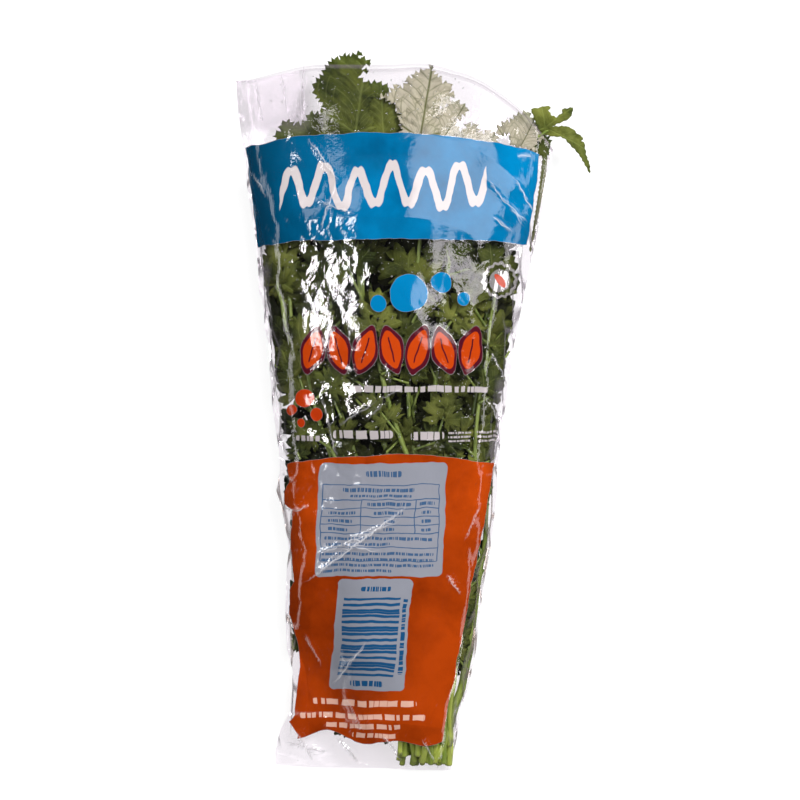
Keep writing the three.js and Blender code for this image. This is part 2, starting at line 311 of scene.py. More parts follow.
BUSY = (
    # gain, middle x, width, and where in y it rises and falls: finer crumples under the glare at the left,
    # a calmer patch in their midst, and some more at the right
    (1.5, -34, 17, (-70, -10, 78, 112)),
    (-1.2, -33, 8, (20, 45, 66, 76)),
    (1.3, 27, 14, (-20, 20, 72, 84)),
)


def crumple(across, along, x, y):
    """How far the front wall stands off its smooth shape, in mm."""
    aside = np.abs(across)
    slack = 0.5 + 0.7 * smooth(aside, 0.5, 0.95) + 0.8 * (1 - smooth(along, 0.02, 0.16))
    slack = slack + 0.3 * smooth(along, 0.86, 1.0)
    calm = 1 - 0.35 * plateau(along, 0.72, 0.8, 0.96, 1.0) * (1 - smooth(aside, 0.7, 0.9))
    patchy = 0.35 + 0.65 * smooth(facets(x, y, 31, 5, 0.4), -0.3, 0.7)
    busy = 1
    for gain, middle, width, stretch in BUSY:
        busy = busy + gain * bell(x, middle, width) * plateau(y, *stretch)
    lift = 1.5 * slack * calm * facets(x, y, 27, 11, 0.35, 1.7)
    lift = lift + 0.75 * slack * calm * facets(x, y, 11, 12, 1.1, 1.5) * (0.7 + 0.3 * busy)
    lift = lift + 0.3 * slack * calm * patchy * busy * facets(x, y, 4.6, 13, 0.2, 1.3)
    lift = lift + 0.09 * calm * patchy * np.maximum(0, busy - 1) * facets(x, y, 2.1, 14, 0.8)
    # The film is gathered beside the welds.
    lift = lift + 0.55 * smooth(aside, 0.7, 0.86) * smooth(along, 0.1, 0.2) * facets(x, y, 6.5, 15, 0.1, 2.2)
    for start, end, height, width in CREASES:
        lift = lift + crease(x, y, start, end, height, width)
    return lift


def crease_lines(x, y):
    """For each point the signed distance to the nearest crease, and how strongly that crease shows."""
    nearest, side, mark = np.full(x.shape, np.inf), np.full(x.shape, FAR), np.zeros(x.shape)
    for start, end, height, _ in CREASES:
        run, aside, length = along_line(x, y, start, end)
        # Folded film never creases quite straight.
        aside = aside + 0.35 * np.sin(run / 2.3 + start[0]) + 0.25 * np.sin(run / 0.9 + start[1])
        ends = plateau(run, 0, 0.3 * length, 0.7 * length, length)
        shown = ends * smooth(height, 0.2, 0.7) * (1 - smooth(np.abs(aside), 2.0, 3.0))
        closer = (np.abs(aside) < nearest) & (shown > 0)
        nearest = np.where(closer, np.abs(aside), nearest)
        side, mark = np.where(closer, aside, side), np.where(closer, shown, mark)
    return side, mark


print("creases", len(CREASES))

# %% [markdown]
# ## The film
# Real film is a few hundredths of a millimetre thick. Each wall is a fine grid laid over the smooth
# shape and pushed in and out by the crumples. The two walls share one line at each weld, and a Solidify
# modifier turns each grid into a closed sheet. A UV map in the sleeve's flat size keeps the print sharp
# and lets it follow every fold. The left and right outlines wander a little, as slack film does.

# %% Film outline
LEFT_EDGE = [
    # y, x, going up the left side
    (-156, -61), (-148, -61), (-139, -58.5), (-132, -54.5), (-122, -53.4), (-113, -53.2), (-104, -55.7),
    (-86, -56.4), (-69, -55.8), (-60, -54.8), (-51, -56.2), (-42, -57.8), (-34, -60.3), (-25, -58.7),
    (-16, -59.2), (-7, -60.6), (2, -62), (10, -62.4), (19, -63.2), (28, -63), (37, -65.4), (46, -65.8),
    (54, -68), (63, -68.2), (81, -70), (98, -72.9), (116, -74.8), (134, -77.2), (147, -78.1),
]
RIGHT_EDGE = [
    # y, x, going up the right side
    (-158.5, 16.6), (-148, 18.3), (-139, 19.8), (-130, 20.9), (-122, 24), (-104, 27.6), (-95, 28.4),
    (-78, 30.6), (-69, 32), (-60, 33.8), (-51, 35), (-34, 36.8), (-25, 36.8), (-7, 39), (2, 40.3),
    (10, 42), (28, 43.8), (37, 45.6), (46, 47.4), (63, 50.9), (81, 54.9), (98, 58.3), (107, 60),
    (116, 61.4),
]


def film_edge(table, y):
    ys, xs = np.array(table).T
    return np.interp(y, ys, xs)


FILM_THICKNESS = 0.05
FIN = 0.97  # the walls lie on each other beyond this
UNDER_FRONT = 0.4  # the dressed front wall lies this much under the measured one
FLAT_WIDTH, FLAT_LENGTH = 200, 400  # mm that the print's UV square spans


def film_points(across, along, front):
    """Points of one wall of the film, in mm, and its flat print coordinates."""
    y = plan_y(across, along)
    t = (across + 1) / 2
    left = film_edge(LEFT_EDGE, plan_y(-1, along))
    right = film_edge(RIGHT_EDGE, plan_y(1, along))
    x = mix(left, right, t)
    inner = np.clip(across / FIN, -1, 1)
    fin = smooth(np.abs(across), FIN - 0.05, 1)
    wave = 1.1 * facets(x, y, 17, 21, 0.5, 1.4) + 0.5 * facets(x, y, 6, 22, 0.1, 1.3)
    middle = (back_z(inner, along) + front_z(inner, along)) / 2 + wave * fin
    # The cut stems push the film out at the right of the hem, so it closes late there.
    closing = smooth(along, 0.0, mix(0.018, 0.006, smooth(across, -0.1, 0.2)))
    closing = closing * (1 - smooth(np.abs(across), FIN, 1))
    if front:
        wall = front_z(inner, along) - UNDER_FRONT + crumple(across, along, x, y)
        wall = np.maximum(wall, back_z(inner, along) + 2.4)
    else:
        rise = 0.55 * (1 + facets(x, y, 19, 31, 0.3, 1.4)) + 0.25 * (1 + facets(x, y, 7, 32, 0.9))
        wall = back_z(inner, along) + 0.15 + rise * (0.25 + 0.3 * smooth(np.abs(across), 0.4, 0.9))
    seam = np.maximum(middle, 0.4)
    z = mix(seam, np.maximum(wall, 0.1), closing)
    # The rim of the mouth waves in and out, and the hem puckers.
    rim = smooth(along, 0.93, 1.0)
    hem = 1 - smooth(along, 0, 0.03)
    y = y + rim * 1.1 * facets(x, y, 15, 41, 0.2) - 0.8 * hem * facets(x, y, 13, 42, 0.3)
    z = z + rim * closing * (1.6 if front else 0.5) * facets(x, y, 22, 43 if front else 44, 0.6)
    z = np.maximum(z, 0.3) + (0.06 if front else -0.06)
    return np.stack([x, y, z], axis=-1), np.stack([x / FLAT_WIDTH + 0.5, y / FLAT_LENGTH + 0.5], axis=-1)


print("front wall in the middle", film_points(np.array([0.0]), np.array([0.5]), True)[0].round(1))

# %% Mesh helpers
def set_uv(mesh, name, places):
    """A UV map from one place for each vertex."""
    loops = np.empty(len(mesh.loops), dtype=np.int32)
    mesh.loops.foreach_get("vertex_index", loops)
    layer = mesh.uv_layers.new(name=name)
    layer.data.foreach_set("uv", places[loops].astype(np.float32).ravel())


def set_attribute(mesh, key, values):
    """A number for each vertex."""
    layer = mesh.attributes.new(key, "FLOAT", "POINT")
    layer.data.foreach_set("value", np.asarray(values, dtype=np.float32).ravel())


def get_attribute(mesh, key):
    values = np.empty(len(mesh.vertices), dtype=np.float32)
    mesh.attributes[key].data.foreach_get("value", values)
    return values


def get_places(mesh):
    places = np.empty(len(mesh.vertices) * 3)
    mesh.vertices.foreach_get("co", places)
    return places.reshape(-1, 3)


def set_places(mesh, places):
    """Moves the vertices to places in mm."""
    mesh.vertices.foreach_set("co", (places * MM).ravel())
    mesh.update()


def grid_mesh(name, points, uvs, flip):
    """A sheet of flat faces over rows of points."""
    rows, columns = points.shape[:2]
    index = np.arange(rows * columns).reshape(rows, columns)
    quads = np.stack([index[:-1, :-1], index[:-1, 1:], index[1:, 1:], index[1:, :-1]], axis=-1).reshape(-1, 4)
    if flip:
        quads = quads[:, ::-1]
    mesh = bpy.data.meshes.new(name)
    mesh.from_pydata((points.reshape(-1, 3) * MM).tolist(), [], quads.tolist())
    set_uv(mesh, "print", uvs.reshape(-1, 2))
    mesh.polygons.foreach_set("use_smooth", [False] * len(mesh.polygons))
    return mesh


def add_object(name, mesh):
    obj = bpy.data.objects.new(name, mesh)
    bpy.context.collection.objects.link(obj)
    return obj


def finish_modifiers(obj):
    """Turns an object's modifiers into plain mesh."""
    graph = bpy.context.evaluated_depsgraph_get()
    mesh = bpy.data.meshes.new_from_object(obj.evaluated_get(graph), depsgraph=graph)
    obj.modifiers.clear()
    old = obj.data
    obj.data = mesh
    mesh.name = obj.name
    if old.users == 0:
        bpy.data.batch_remove([old])
    return obj


def thicken(obj, thickness, offset):
    """Turns a surface into a closed sheet this thick, in mm."""
    sheet = obj.modifiers.new("thickness", "SOLIDIFY")
    sheet.thickness = thickness * MM
    sheet.offset = offset
    return finish_modifiers(obj)


print("sheets of film are", FILM_THICKNESS, "mm thick")

# %% Film marks
def sharp_folds(x, y, lift):
    """How sharply the crumples bend the sheet, from 0 to 1. Film turns white at such folds."""
    points = np.stack([x, y, lift], axis=-1)
    bend = np.zeros(points.shape[:2])
    for axis in (0, 1):
        step = np.diff(points, axis=axis)
        step = step / np.linalg.norm(step, axis=-1, keepdims=True)
        turn = np.linalg.norm(np.diff(step, axis=axis), axis=-1)
        bend[tuple(slice(1, -1) if k == axis else slice(None) for k in (0, 1))] += turn
    return smooth(bend, 0.22, 0.7)


def cloudiness(x, y, along):
    """Extra milkiness where the film is doubled over: at the mouth's corner, the rim and the hem."""
    corner = smooth(y, 119, 127) * (1 - smooth(x, -50, -42))
    mouth = smooth(y, 121, 128) * (0.6 + 0.4 * smooth(facets(x, y, 24, 51, 0.2, 2.5), -0.4, 0.5))
    hem = (1 - smooth(y, -146, -138)) * (1 - smooth(x, -14, -6))
    streaks = smooth(facets(x, y, 13, 52, 0.1, 3.0), 0.0, 0.9)
    rim = smooth(along, 0.993, 0.998)
    folds = smooth(np.abs(facets(x, y, 7, 55, 0.05, 6.0)), 0.3, 0.8)
    made = 0.104 * corner * (0.75 + 0.5 * folds) + 0.009 * mouth + 0.02 * hem * (0.4 + 0.6 * streaks)
    return np.maximum(made, 0.16 * rim)


def gathering(across, along):
    """How much the film is gathered, from 0 to 1: it is at the welds, but not near the mouth."""
    return smooth(np.abs(across), 0.86, 0.96) * plateau(along, 0.02, 0.06, 0.84, 0.9)


print("cloudiest", float(cloudiness(np.array([-60.0]), np.array([150.0]), np.array([1.0]))[0]))

# %% Film walls
def film_wall(name, front, columns, rows):
    """One wall of the film, with what the material needs to know of each place on it."""
    t = np.linspace(-1, 1, columns + 1)
    # The grid is a little finer beside the welds.
    across, along = np.meshgrid(t * (1.15 - 0.15 * t**2), np.linspace(0, 1, rows + 1))
    points, uvs = film_points(across, along, front)
    obj = add_object(name, grid_mesh(name, points, uvs, flip=not front))
    x, y = points[..., 0], points[..., 1]
    lift = crumple(across, along, x, y) if front else 0.6 * facets(x, y, 9, 33, 0.2)
    side, mark = crease_lines(x, y)
    marks = {
        "fold": sharp_folds(x, y, lift),
        "cloud": cloudiness(x, y, along),
        "gathered": gathering(across, along),
        "crease_side": side,
        "crease_mark": mark * front,
    }
    for key, values in marks.items():
        set_attribute(obj.data, key, values)
    thicken(obj, FILM_THICKNESS, -1)
    print(name, len(obj.data.polygons), "faces")
    return obj


film_front = film_wall("film_front", True, 150, 310)
film_back = film_wall("film_back", False, 44, 310)

# %% [markdown]
# ## Room in the sleeve
# Whatever is in the bunch is worked out on a flat plan first, with a level from 0 at the back wall to 1
# at the front one. One function then carries it into the sleeve. Near the welds it draws things together,
# and it keeps them just under the front wall, crumples and all, so leaves press against the film.

# %% Into the sleeve
def into_sleeve(x, y, level, relief=0.0, reach=0.96, gap=0.9):
    """Places in the sleeve, in mm, of plan points at a level of the bunch."""
    across, along = sleeve_place(x, y)
    free = reach - 0.06
    over = np.maximum(np.abs(across) - free, 0)
    drawn_in = free + (reach - free) * np.tanh(over / (reach - free))
    held = np.sign(across) * np.where(over > 0, drawn_in, np.abs(across))
    left, right = film_edge(LEFT_EDGE, plan_y(-1, along)), film_edge(RIGHT_EDGE, plan_y(1, along))
    inner = np.clip(held / FIN, -1, 1)
    inside_x = mix(left, right, (held + 1) / 2)
    low = back_z(inner, along) + 1.2
    high = front_z(inner, along) - UNDER_FRONT + crumple(held, along, inside_x, y) - gap
    high = np.maximum(high, low + 0.5)
    z = mix(low, high, level) + relief
    squeeze = 0.5 * np.minimum(3.0, high - low)
    z = np.where(z > high - squeeze, high - squeeze * np.exp(-(z - high + squeeze) / squeeze), z)
    z = np.where(z < low + squeeze, low + squeeze * np.exp((z - low - squeeze) / squeeze), z)
    outside = smooth(along, 0.985, 1.05)
    return np.stack([mix(inside_x, x, outside), y, z], axis=-1)


print("room at the middle", into_sleeve(np.array([0.0]), np.array([0.0]), np.array([1.0])).round(1))

# %% [markdown]
# ## Shader maths
# Print, veins and wrinkles are worked out by nodes. Written as nodes, a rounded panel takes a dozen
# lines, so this small class wraps a socket and lets ordinary Python expressions build the nodes.

# %% Wire class
class Wire:
    """A socket that ordinary maths works on."""

    def __init__(self, graph, socket):
        self.graph = graph
        self.socket = socket

    def math(self, operation, *others):
        return self.graph.node("ShaderNodeMath", {"operation": operation}, self, *others)

    def __add__(self, other):
        return self.math("ADD", other)

    def __sub__(self, other):
        return self.math("SUBTRACT", other)

    def __mul__(self, other):
        return self.math("MULTIPLY", other)

    def __truediv__(self, other):
        return self.math("DIVIDE", other)

    def __pow__(self, other):
        return self.math("POWER", other)

    def __neg__(self):
        return self.math("MULTIPLY", -1.0)

    def __rsub__(self, other):
        return self.graph.node("ShaderNodeMath", {"operation": "SUBTRACT"}, other, self)

    __radd__ = __add__

    def abs(self):
        return self.math("ABSOLUTE")

    def beside(self, index):
        """Another output of the same node."""
        return Wire(self.graph, self.socket.node.outputs[index])

    def least(self, other):
        return self.math("MINIMUM", other)

    def most(self, other):
        return self.math("MAXIMUM", other)

    def sin(self):
        return self.math("SINE")

    def wrap(self, period):
        """The remainder, counted from the middle of each period."""
        return self.math("WRAP", period / 2, -period / 2)

    def ramp(self, low, high, to_low=0.0, to_high=1.0):
        """Runs from one value to another between two limits, and stays there outside them."""
        return self.graph.node("ShaderNodeMapRange", {"clamp": True}, self, low, high, to_low, to_high)


print("wire methods", [name for name in vars(Wire) if not name.startswith("_")])

# %% Graph class
class Graph:
    """A material's node tree."""

    def __init__(self, name):
        self.material = bpy.data.materials.new(name)
        self.material.use_nodes = True
        self.tree = self.material.node_tree
        self.tree.nodes.clear()

    def node(self, kind, settings=None, *values, out=0, **named):
        """Any node: its settings first, then its sockets in order or by name."""
        made = self.tree.nodes.new(kind)
        for key, value in (settings or {}).items():
            setattr(made, key, value)
        sockets = [s for s in made.inputs if s.enabled]
        pairs = list(zip(sockets, values))
        for key, value in named.items():
            label = key.replace("_", " ")
            pairs.append((next(s for s in sockets if s.name == label), value))
        for socket, value in pairs:
            if isinstance(value, Wire):
                self.tree.links.new(value.socket, socket)
            elif value is not None:
                socket.default_value = value
        outs = [s for s in made.outputs if s.enabled]
        return Wire(self, outs[out])

    def colour(self, mask, a, b):
        """From colour a to colour b by a mask."""
        a, b = ((*c[:3], 1) if isinstance(c, tuple) else c for c in (a, b))
        settings = {"data_type": "RGBA", "blend_type": "MIX", "clamp_factor": True}
        return self.node("ShaderNodeMix", settings, Factor=mask, A=a, B=b)

    def attribute(self, name):
        return self.node("ShaderNodeAttribute", {"attribute_name": name}, out=2)

    def noise(self, place, scale, detail=3.0, rough=0.55):
        named = {"Vector": place, "Scale": scale, "Detail": detail, "Roughness": rough}
        return self.node("ShaderNodeTexNoise", None, **named)

    def cracks(self, place, scale):
        """Distance to the borders of random cells."""
        return self.node("ShaderNodeTexVoronoi", {"feature": "DISTANCE_TO_EDGE"}, Vector=place, Scale=scale)

    def own_place(self):
        """Where a point lies in its object, in metres."""
        return self.node("ShaderNodeTexCoord", None, out=3)

    def bump(self, height, strength, distance):
        return self.node("ShaderNodeBump", None, Height=height, Strength=strength, Distance=distance)

    def principled(self, **named):
        return self.node("ShaderNodeBsdfPrincipled", None, **named)

    def surface(self, shader):
        output = self.tree.nodes.new("ShaderNodeOutputMaterial")
        self.tree.links.new(shader.socket, output.inputs["Surface"])
        return self.material


def linear(red, green, blue):
    """Colour from the usual 0 to 255 numbers."""
    return tuple(
        (c / 12.92 if c <= 0.04045 else ((c + 0.055) / 1.055) ** 2.4)
        for c in (v / 255 for v in (red, green, blue))
    )


print("graph methods", [name for name in vars(Graph) if not name.startswith("_")])

# %% [markdown]
# ## Leaf and stem finishes
# A leaf is dark and slightly waxy above, with paler veins that fork towards each tooth, and it is dull
# and pale beneath. The stems run from pale, juicy green at the cut to deeper green above, with fine
# lengthwise streaks. Both vary from piece to piece through the hue number that each one carries.

# %% Leaf and stem materials
VEIN_SPREAD = 1.12  # radians between the main veins
NECK = 0.1  # how far up a leaflet the veins part


def leaf_material():
    graph = Graph("leaf_green")
    uv = graph.node("ShaderNodeUVMap", {"uv_map": "leaf"})
    split = graph.node("ShaderNodeSeparateXYZ", None, uv)
    x = (split - 0.5) * 2.0
    y = split.beside(1)
    hue = graph.attribute("hue")
    place = graph.own_place()
    angle = x.math("ARCTAN2", y - NECK)
    reach = (x * x + (y - NECK) * (y - NECK)) ** 0.5
    main = (angle.wrap(VEIN_SPREAD).abs() * reach).ramp(0.004, 0.02, 1.0, 0.0)
    forks = (reach * 7.0 - angle.wrap(VEIN_SPREAD).abs() * 5.0).wrap(1.0).abs().ramp(0.03, 0.12, 1.0, 0.0)
    net = graph.cracks(place, 900.0)
    veins = main.most(forks * 0.55)
    cells = net.ramp(0.0, 0.12, 0.35, 0.0)
    shade = graph.noise(place, 70.0, 4.0)
    deep = graph.colour(hue, linear(27, 37, 10), linear(55, 64, 20))
    light = graph.colour(hue, linear(58, 69, 20), linear(116, 121, 53))
    colour = graph.colour(shade.ramp(0.36, 0.66), deep, light)
    colour = graph.colour((veins * 0.6 + cells * 0.5).least(1.0) * 0.4, colour, linear(136, 148, 78))
    # The underside of a leaf is a dull pale green, with the veins standing out.
    wrinkles = graph.cracks(place, 230.0).ramp(0.02, 0.1, 0.55, 0.0) * shade.ramp(0.4, 0.6)
    under = graph.colour(veins.most(wrinkles), linear(188, 182, 163), linear(84, 86, 54))
    colour = graph.colour(graph.attribute("pale"), colour, under)
    colour = graph.colour(reach.ramp(0.7, 1.0) * 0.3, colour, linear(50, 74, 22))
    # Painted shade: leaves deep in the bunch are darkened almost to black by their lit number.
    colour = graph.colour(graph.attribute("lit").ramp(0.55, 1.0, 0.97, 0.0), colour, linear(6, 8, 2))
    height = veins * -0.6 + cells * -0.3 + graph.noise(place, 400.0, 3.0) * 0.5
    bump = graph.bump(height, 0.55, 0.0005)
    rough = graph.noise(place, 220.0, 2.0).ramp(0.3, 0.7, 0.42, 0.62)
    finish = {"Roughness": rough, "Specular_IOR_Level": 0.14, "Normal": bump}
    return graph.surface(graph.principled(Base_Color=colour, **finish))


def stem_material():
    graph = Graph("stem_green")
    up = graph.attribute("up_stem")
    hue = graph.attribute("hue")
    place = graph.own_place()
    stretched = graph.node("ShaderNodeMapping", None, Vector=place, Scale=(900.0, 60.0, 900.0))
    streak = graph.node("ShaderNodeTexNoise", None, Vector=stretched, Scale=1.0, Detail=3.0)
    low = graph.colour(hue, linear(112, 138, 30), linear(178, 192, 80))
    high = graph.colour(hue, linear(58, 76, 20), linear(112, 130, 52))
    colour = graph.colour(up.ramp(0.0, 0.4), low, high)
    # The cut itself has dried a little.
    colour = graph.colour(up.ramp(0.001, 0.004, 0.7, 0.0), colour, linear(92, 88, 52))
    colour = graph.colour(streak.ramp(0.4, 0.7) * 0.4, colour, linear(168, 184, 96))
    colour = graph.colour(graph.noise(place, 90.0, 3.0).ramp(0.55, 0.8) * 0.4, colour, linear(86, 108, 36))
    bump = graph.bump(streak, 0.4, 0.0004)
    rough = streak.ramp(0.3, 0.7, 0.34, 0.5)
    finish = {"Roughness": rough, "Specular_IOR_Level": 0.5, "Normal": bump}
    return graph.surface(graph.principled(Base_Color=colour, **finish))


leaf_green = leaf_material()
stem_green = stem_material()
for made in (leaf_green, stem_green):
    print(made.name, len(made.node_tree.nodes), "nodes")

# %% [markdown]
# ## Stems
# Coriander stems are thin, slightly ribbed and juicy. They start together at the cut ends, at the right
# of the hem, and fan out towards the leaves. The paths are plain polylines placed through the sleeve's
# functions. A Geometry Nodes tree then sweeps one ribbed profile along all of them, because that is what
# it is good at: one rule, many paths.

# %% Stem paths
STEM_LAYERS = 7
STEM_LANES = 6
STEM_STEPS = 30
PLACED_SPAN = 308  # mm from the hem over which a placed stem runs from 0 to 1
rng = np.random.default_rng(7)


class Stem:
    """One cut stem: where it runs in the plan, and at what level."""

    def __init__(self, layer, lane):
        spread = (lane + 0.5) / STEM_LANES * 2 - 1
        top = STEM_LAYERS - 1
        self.across = 0.97 * spread + rng.uniform(-0.06, 0.06)
        self.level = np.clip(0.06 + 0.7 * layer / top + rng.uniform(-0.05, 0.05), 0.03, 0.8)
        self.foot_x = 4.6 + 10.5 * spread + rng.uniform(-1.4, 1.4)
        self.splay = 2.2 * spread + rng.uniform(-2.2, 2.2)
        self.foot_level = np.clip(0.08 + 0.84 * layer / top + rng.uniform(-0.04, 0.04), 0.05, 0.95)
        self.foot = 0.006 + 0.05 * rng.uniform(0, 1) ** 1.5
        self.tip = rng.uniform(0.7, 0.78) - 0.06 * max(0.0, self.across) ** 2 - 0.04 * (self.across < -0.5)
        self.sway = rng.uniform(-5, 5)
        self.phase = rng.uniform(0, TURN)
        self.radius = rng.uniform(1.15, 1.75)

    def plan(self, along):
        """Where the stem is in the plan: bundled at the cut ends, bowed to the right, then in its lane."""
        lane_x = plan_x(self.across, along) + self.sway * np.sin(6 * along + self.phase)
        opened = smooth(along, 0.02, 0.66)
        bow = 7.5 * bell(along, 0.3, 0.16) * (0.6 + 0.4 * self.across)
        splay = self.splay * np.exp(-along / 0.035)
        return mix(self.foot_x, lane_x, opened) + bow + splay, plan_y(self.across * opened, along)

    def level_at(self, along):
        return mix(self.foot_level, self.level, smooth(along, 0.05, 0.4))

    def path(self):
        along = np.linspace(self.foot, self.tip, STEM_STEPS)
        x, y = self.plan(along)
        return into_sleeve(x, y, self.level_at(along), gap=2.2)


class PlacedStem(Stem):
    """A stem seen clearly through the film, set along given points."""

    def __init__(self, level, radius, *points):
        super().__init__(3, 3)
        self.points = np.array(points, dtype=float)
        self.level = self.foot_level = level
        self.radius = radius
        self.foot, self.tip = 0.012, (self.points[-1][1] - HEM_Y) / PLACED_SPAN

    def plan(self, along):
        xs, ys = self.points.T
        y = HEM_Y + PLACED_SPAN * along
        return np.interp(y, ys, xs), y


PLACED = (
    # level, radius, plan points from the cut end up
    (
        0.72, 1.6,
        (9, -154), (13, -146), (14.5, -142), (20.5, -120), (24, -103), (27.5, -80), (30.5, -58), (31.5, -40),
    ),
    (0.5, 1.4, (12, -153), (15.5, -140), (20, -128), (25, -108), (27.5, -92), (29.5, -74), (32, -50)),
    (0.93, 1.7, (4, -154), (10, -120), (12, -80), (6, -40), (-4, -17), (-9, 0), (-13.5, 18), (-17, 34)),
    (0.86, 1.3, (1, -153), (-6, -110), (-14, -60), (-30, -30), (-40, -8), (-46, 20)),
)
stems = [Stem(layer, lane) for layer in range(STEM_LAYERS) for lane in range(STEM_LANES)]
stems += [PlacedStem(*given) for given in PLACED]
print("stems", len(stems))

# %% Geometry Nodes helpers
def new_tree(name, inputs):
    """A Geometry Nodes group with a mesh going in and out, and named inputs."""
    tree = bpy.data.node_groups.new(name, "GeometryNodeTree")
    tree.interface.new_socket("Geometry", in_out="INPUT", socket_type="NodeSocketGeometry")
    tree.interface.new_socket("Geometry", in_out="OUTPUT", socket_type="NodeSocketGeometry")
    for label, (kind, value) in inputs.items():
        socket = tree.interface.new_socket(label, in_out="INPUT", socket_type=f"NodeSocket{kind}")
        if value is not None:
            socket.default_value = value
    return tree


def feed(tree, socket, value):
    """Gives a socket a value, or a link from another node's socket."""
    if isinstance(value, bpy.types.NodeSocket):
        tree.links.new(value, socket)
    else:
        socket.default_value = value


def add(tree, kind, settings=None, **links):
    """Adds a node, sets its options, then its sockets by name, and returns its first output in use."""
    node = tree.nodes.new(kind)
    for key, value in (settings or {}).items():
        setattr(node, key, value)
    for key, value in links.items():
        label = key.replace("_", " ")
        feed(tree, next(s for s in node.inputs if s.name == label and s.enabled), value)
    return next(s for s in node.outputs if s.enabled)


def maths(tree, operation, *values):
    """One step of arithmetic."""
    node = tree.nodes.new("ShaderNodeMath")
    node.operation = operation
    for socket, value in zip(node.inputs, values):
        feed(tree, socket, value)
    return node.outputs[0]


def carried(tree, name):
    """A number that every point carries."""
    return add(tree, "GeometryNodeInputNamedAttribute", {"data_type": "FLOAT"}, Name=name)


def finish_tree(tree, geometry, material):
    """Ends a tree in one real mesh with its material."""
    realized = add(tree, "GeometryNodeRealizeInstances", Geometry=geometry)
    finished = add(tree, "GeometryNodeSetMaterial", Geometry=realized, Material=material)
    tree.links.new(finished, tree.nodes.new("NodeGroupOutput").inputs["Geometry"])
    return tree


def set_input(modifier, label, value):
    """Modifier inputs go by their socket's identifier."""
    items = modifier.node_group.interface.items_tree
    modifier[next(i.identifier for i in items if i.name == label and i.in_out == "INPUT")] = value


print("node trees so far", len(bpy.data.node_groups))

# %% Sweep tree
def sweep_tree():
    inputs = {"Ribs": ("Int", 7), "Rib depth": ("Float", 0.1), "Material": ("Material", None)}
    tree = new_tree("sweep_stems", inputs)
    given = tree.nodes.new("NodeGroupInput").outputs
    curve = add(tree, "GeometryNodeMeshToCurve", Mesh=given["Geometry"])
    corners = maths(tree, "MULTIPLY", given["Ribs"], 2)
    ring = add(tree, "GeometryNodeCurvePrimitiveCircle", Resolution=corners, Radius=1.0)
    # Every second point of the ring is pulled in, which leaves a rib between.
    odd = maths(tree, "MODULO", add(tree, "GeometryNodeInputIndex"), 2)
    shrink = maths(tree, "MULTIPLY_ADD", odd, maths(tree, "MULTIPLY", given["Rib depth"], -1), 1)
    place = add(tree, "GeometryNodeInputPosition")
    scaled = add(tree, "ShaderNodeVectorMath", {"operation": "SCALE"}, Vector=place, Scale=shrink)
    profile = add(tree, "GeometryNodeSetPosition", Geometry=ring, Position=scaled)
    thick = carried(tree, "thick")
    paths = {"Curve": curve, "Profile_Curve": profile, "Scale": thick}
    swept = add(tree, "GeometryNodeCurveToMesh", **paths, Fill_Caps=True)
    return finish_tree(tree, swept, given["Material"])


SWEEP = sweep_tree()


def run_tree(obj, tree, inputs):
    """Puts an object through a Geometry Nodes tree and keeps the mesh that comes out."""
    modifier = obj.modifiers.new(tree.name, "NODES")
    modifier.node_group = tree
    for label, value in inputs.items():
        set_input(modifier, label, value)
    return finish_modifiers(obj)


def sweep(name, paths, radii, ribs, depth, attributes):
    """One mesh swept along many paths. Radii and attributes have one value at each point."""
    mesh = bpy.data.meshes.new(name)
    edges = []
    start = 0
    for path in paths:
        edges += [(start + i, start + i + 1) for i in range(len(path) - 1)]
        start += len(path)
    mesh.from_pydata((np.concatenate(paths) * MM).tolist(), edges, [])
    for key, values in {"thick": np.concatenate(radii) * MM, **attributes}.items():
        set_attribute(mesh, key, values)
    obj = run_tree(add_object(name, mesh), SWEEP, {"Ribs": ribs, "Rib depth": depth, "Material": stem_green})
    print(name, len(paths), "paths", len(obj.data.polygons), "faces")
    return obj


print("sweep tree", len(SWEEP.nodes), "nodes")

# %% Stems
stem_paths = [stem.path() for stem in stems]
stem_radii = [stem.radius * np.linspace(1.0, 0.55, STEM_STEPS) for stem in stems]
up_stem = np.tile(np.linspace(0, 1, STEM_STEPS), len(stems))
stem_hue = np.repeat(rng.uniform(0, 1, len(stems)), STEM_STEPS)
stalks = sweep("stems", stem_paths, stem_radii, 7, 0.09, {"up_stem": up_stem, "hue": stem_hue})
print("longest stem", round(max(float(np.ptp(path[:, 1])) for path in stem_paths)), "mm")

# %% [markdown]
# ## Leaves
# A coriander leaf has three leaflets, each cut into lobes with blunt teeth, and its surface puckers
# between the veins. A few leaflets are drawn flat, each different, and given some relief. Geometry Nodes
# then sets one on every seat along the stems, turned, tilted and scaled by the seat's own numbers. Only
# after that are they bent into the sleeve, so a leaf that touches the film lies against it.

# %% Leaflet shapes
NECK_TURN = 2.05  # radians from the tip round to the neck


def leaflet_outline(cuts, teeth, steps, seed):
    """Edge of a leaflet one unit long, its neck at the origin and its rib along +Y."""
    shape = np.random.default_rng(seed)
    turn = np.linspace(-NECK_TURN, NECK_TURN, steps)
    wide = np.interp(np.abs(turn), [0, 0.5, 1.0, 1.5, 1.85, NECK_TURN], [0.86, 0.8, 0.68, 0.5, 0.3, 0.1])
    wide = wide * (1 + shape.uniform(-0.05, 0.05) * np.sin(2 * turn + shape.uniform(0, 6)))
    for cut in cuts:
        at = cut + shape.uniform(-0.08, 0.08)
        wide = wide * (1 - shape.uniform(0.5, 0.62) * bell(turn, at, 0.12))
    saw = np.abs((turn * teeth + shape.uniform(0, 1)) % 1.0 - 0.5) * 2
    wide = wide * (1 - 0.22 * saw**1.3)
    return [(-0.02, 0.0), *zip(np.sin(turn) * wide, 0.14 + np.cos(turn) * wide), (0.02, 0.0)]


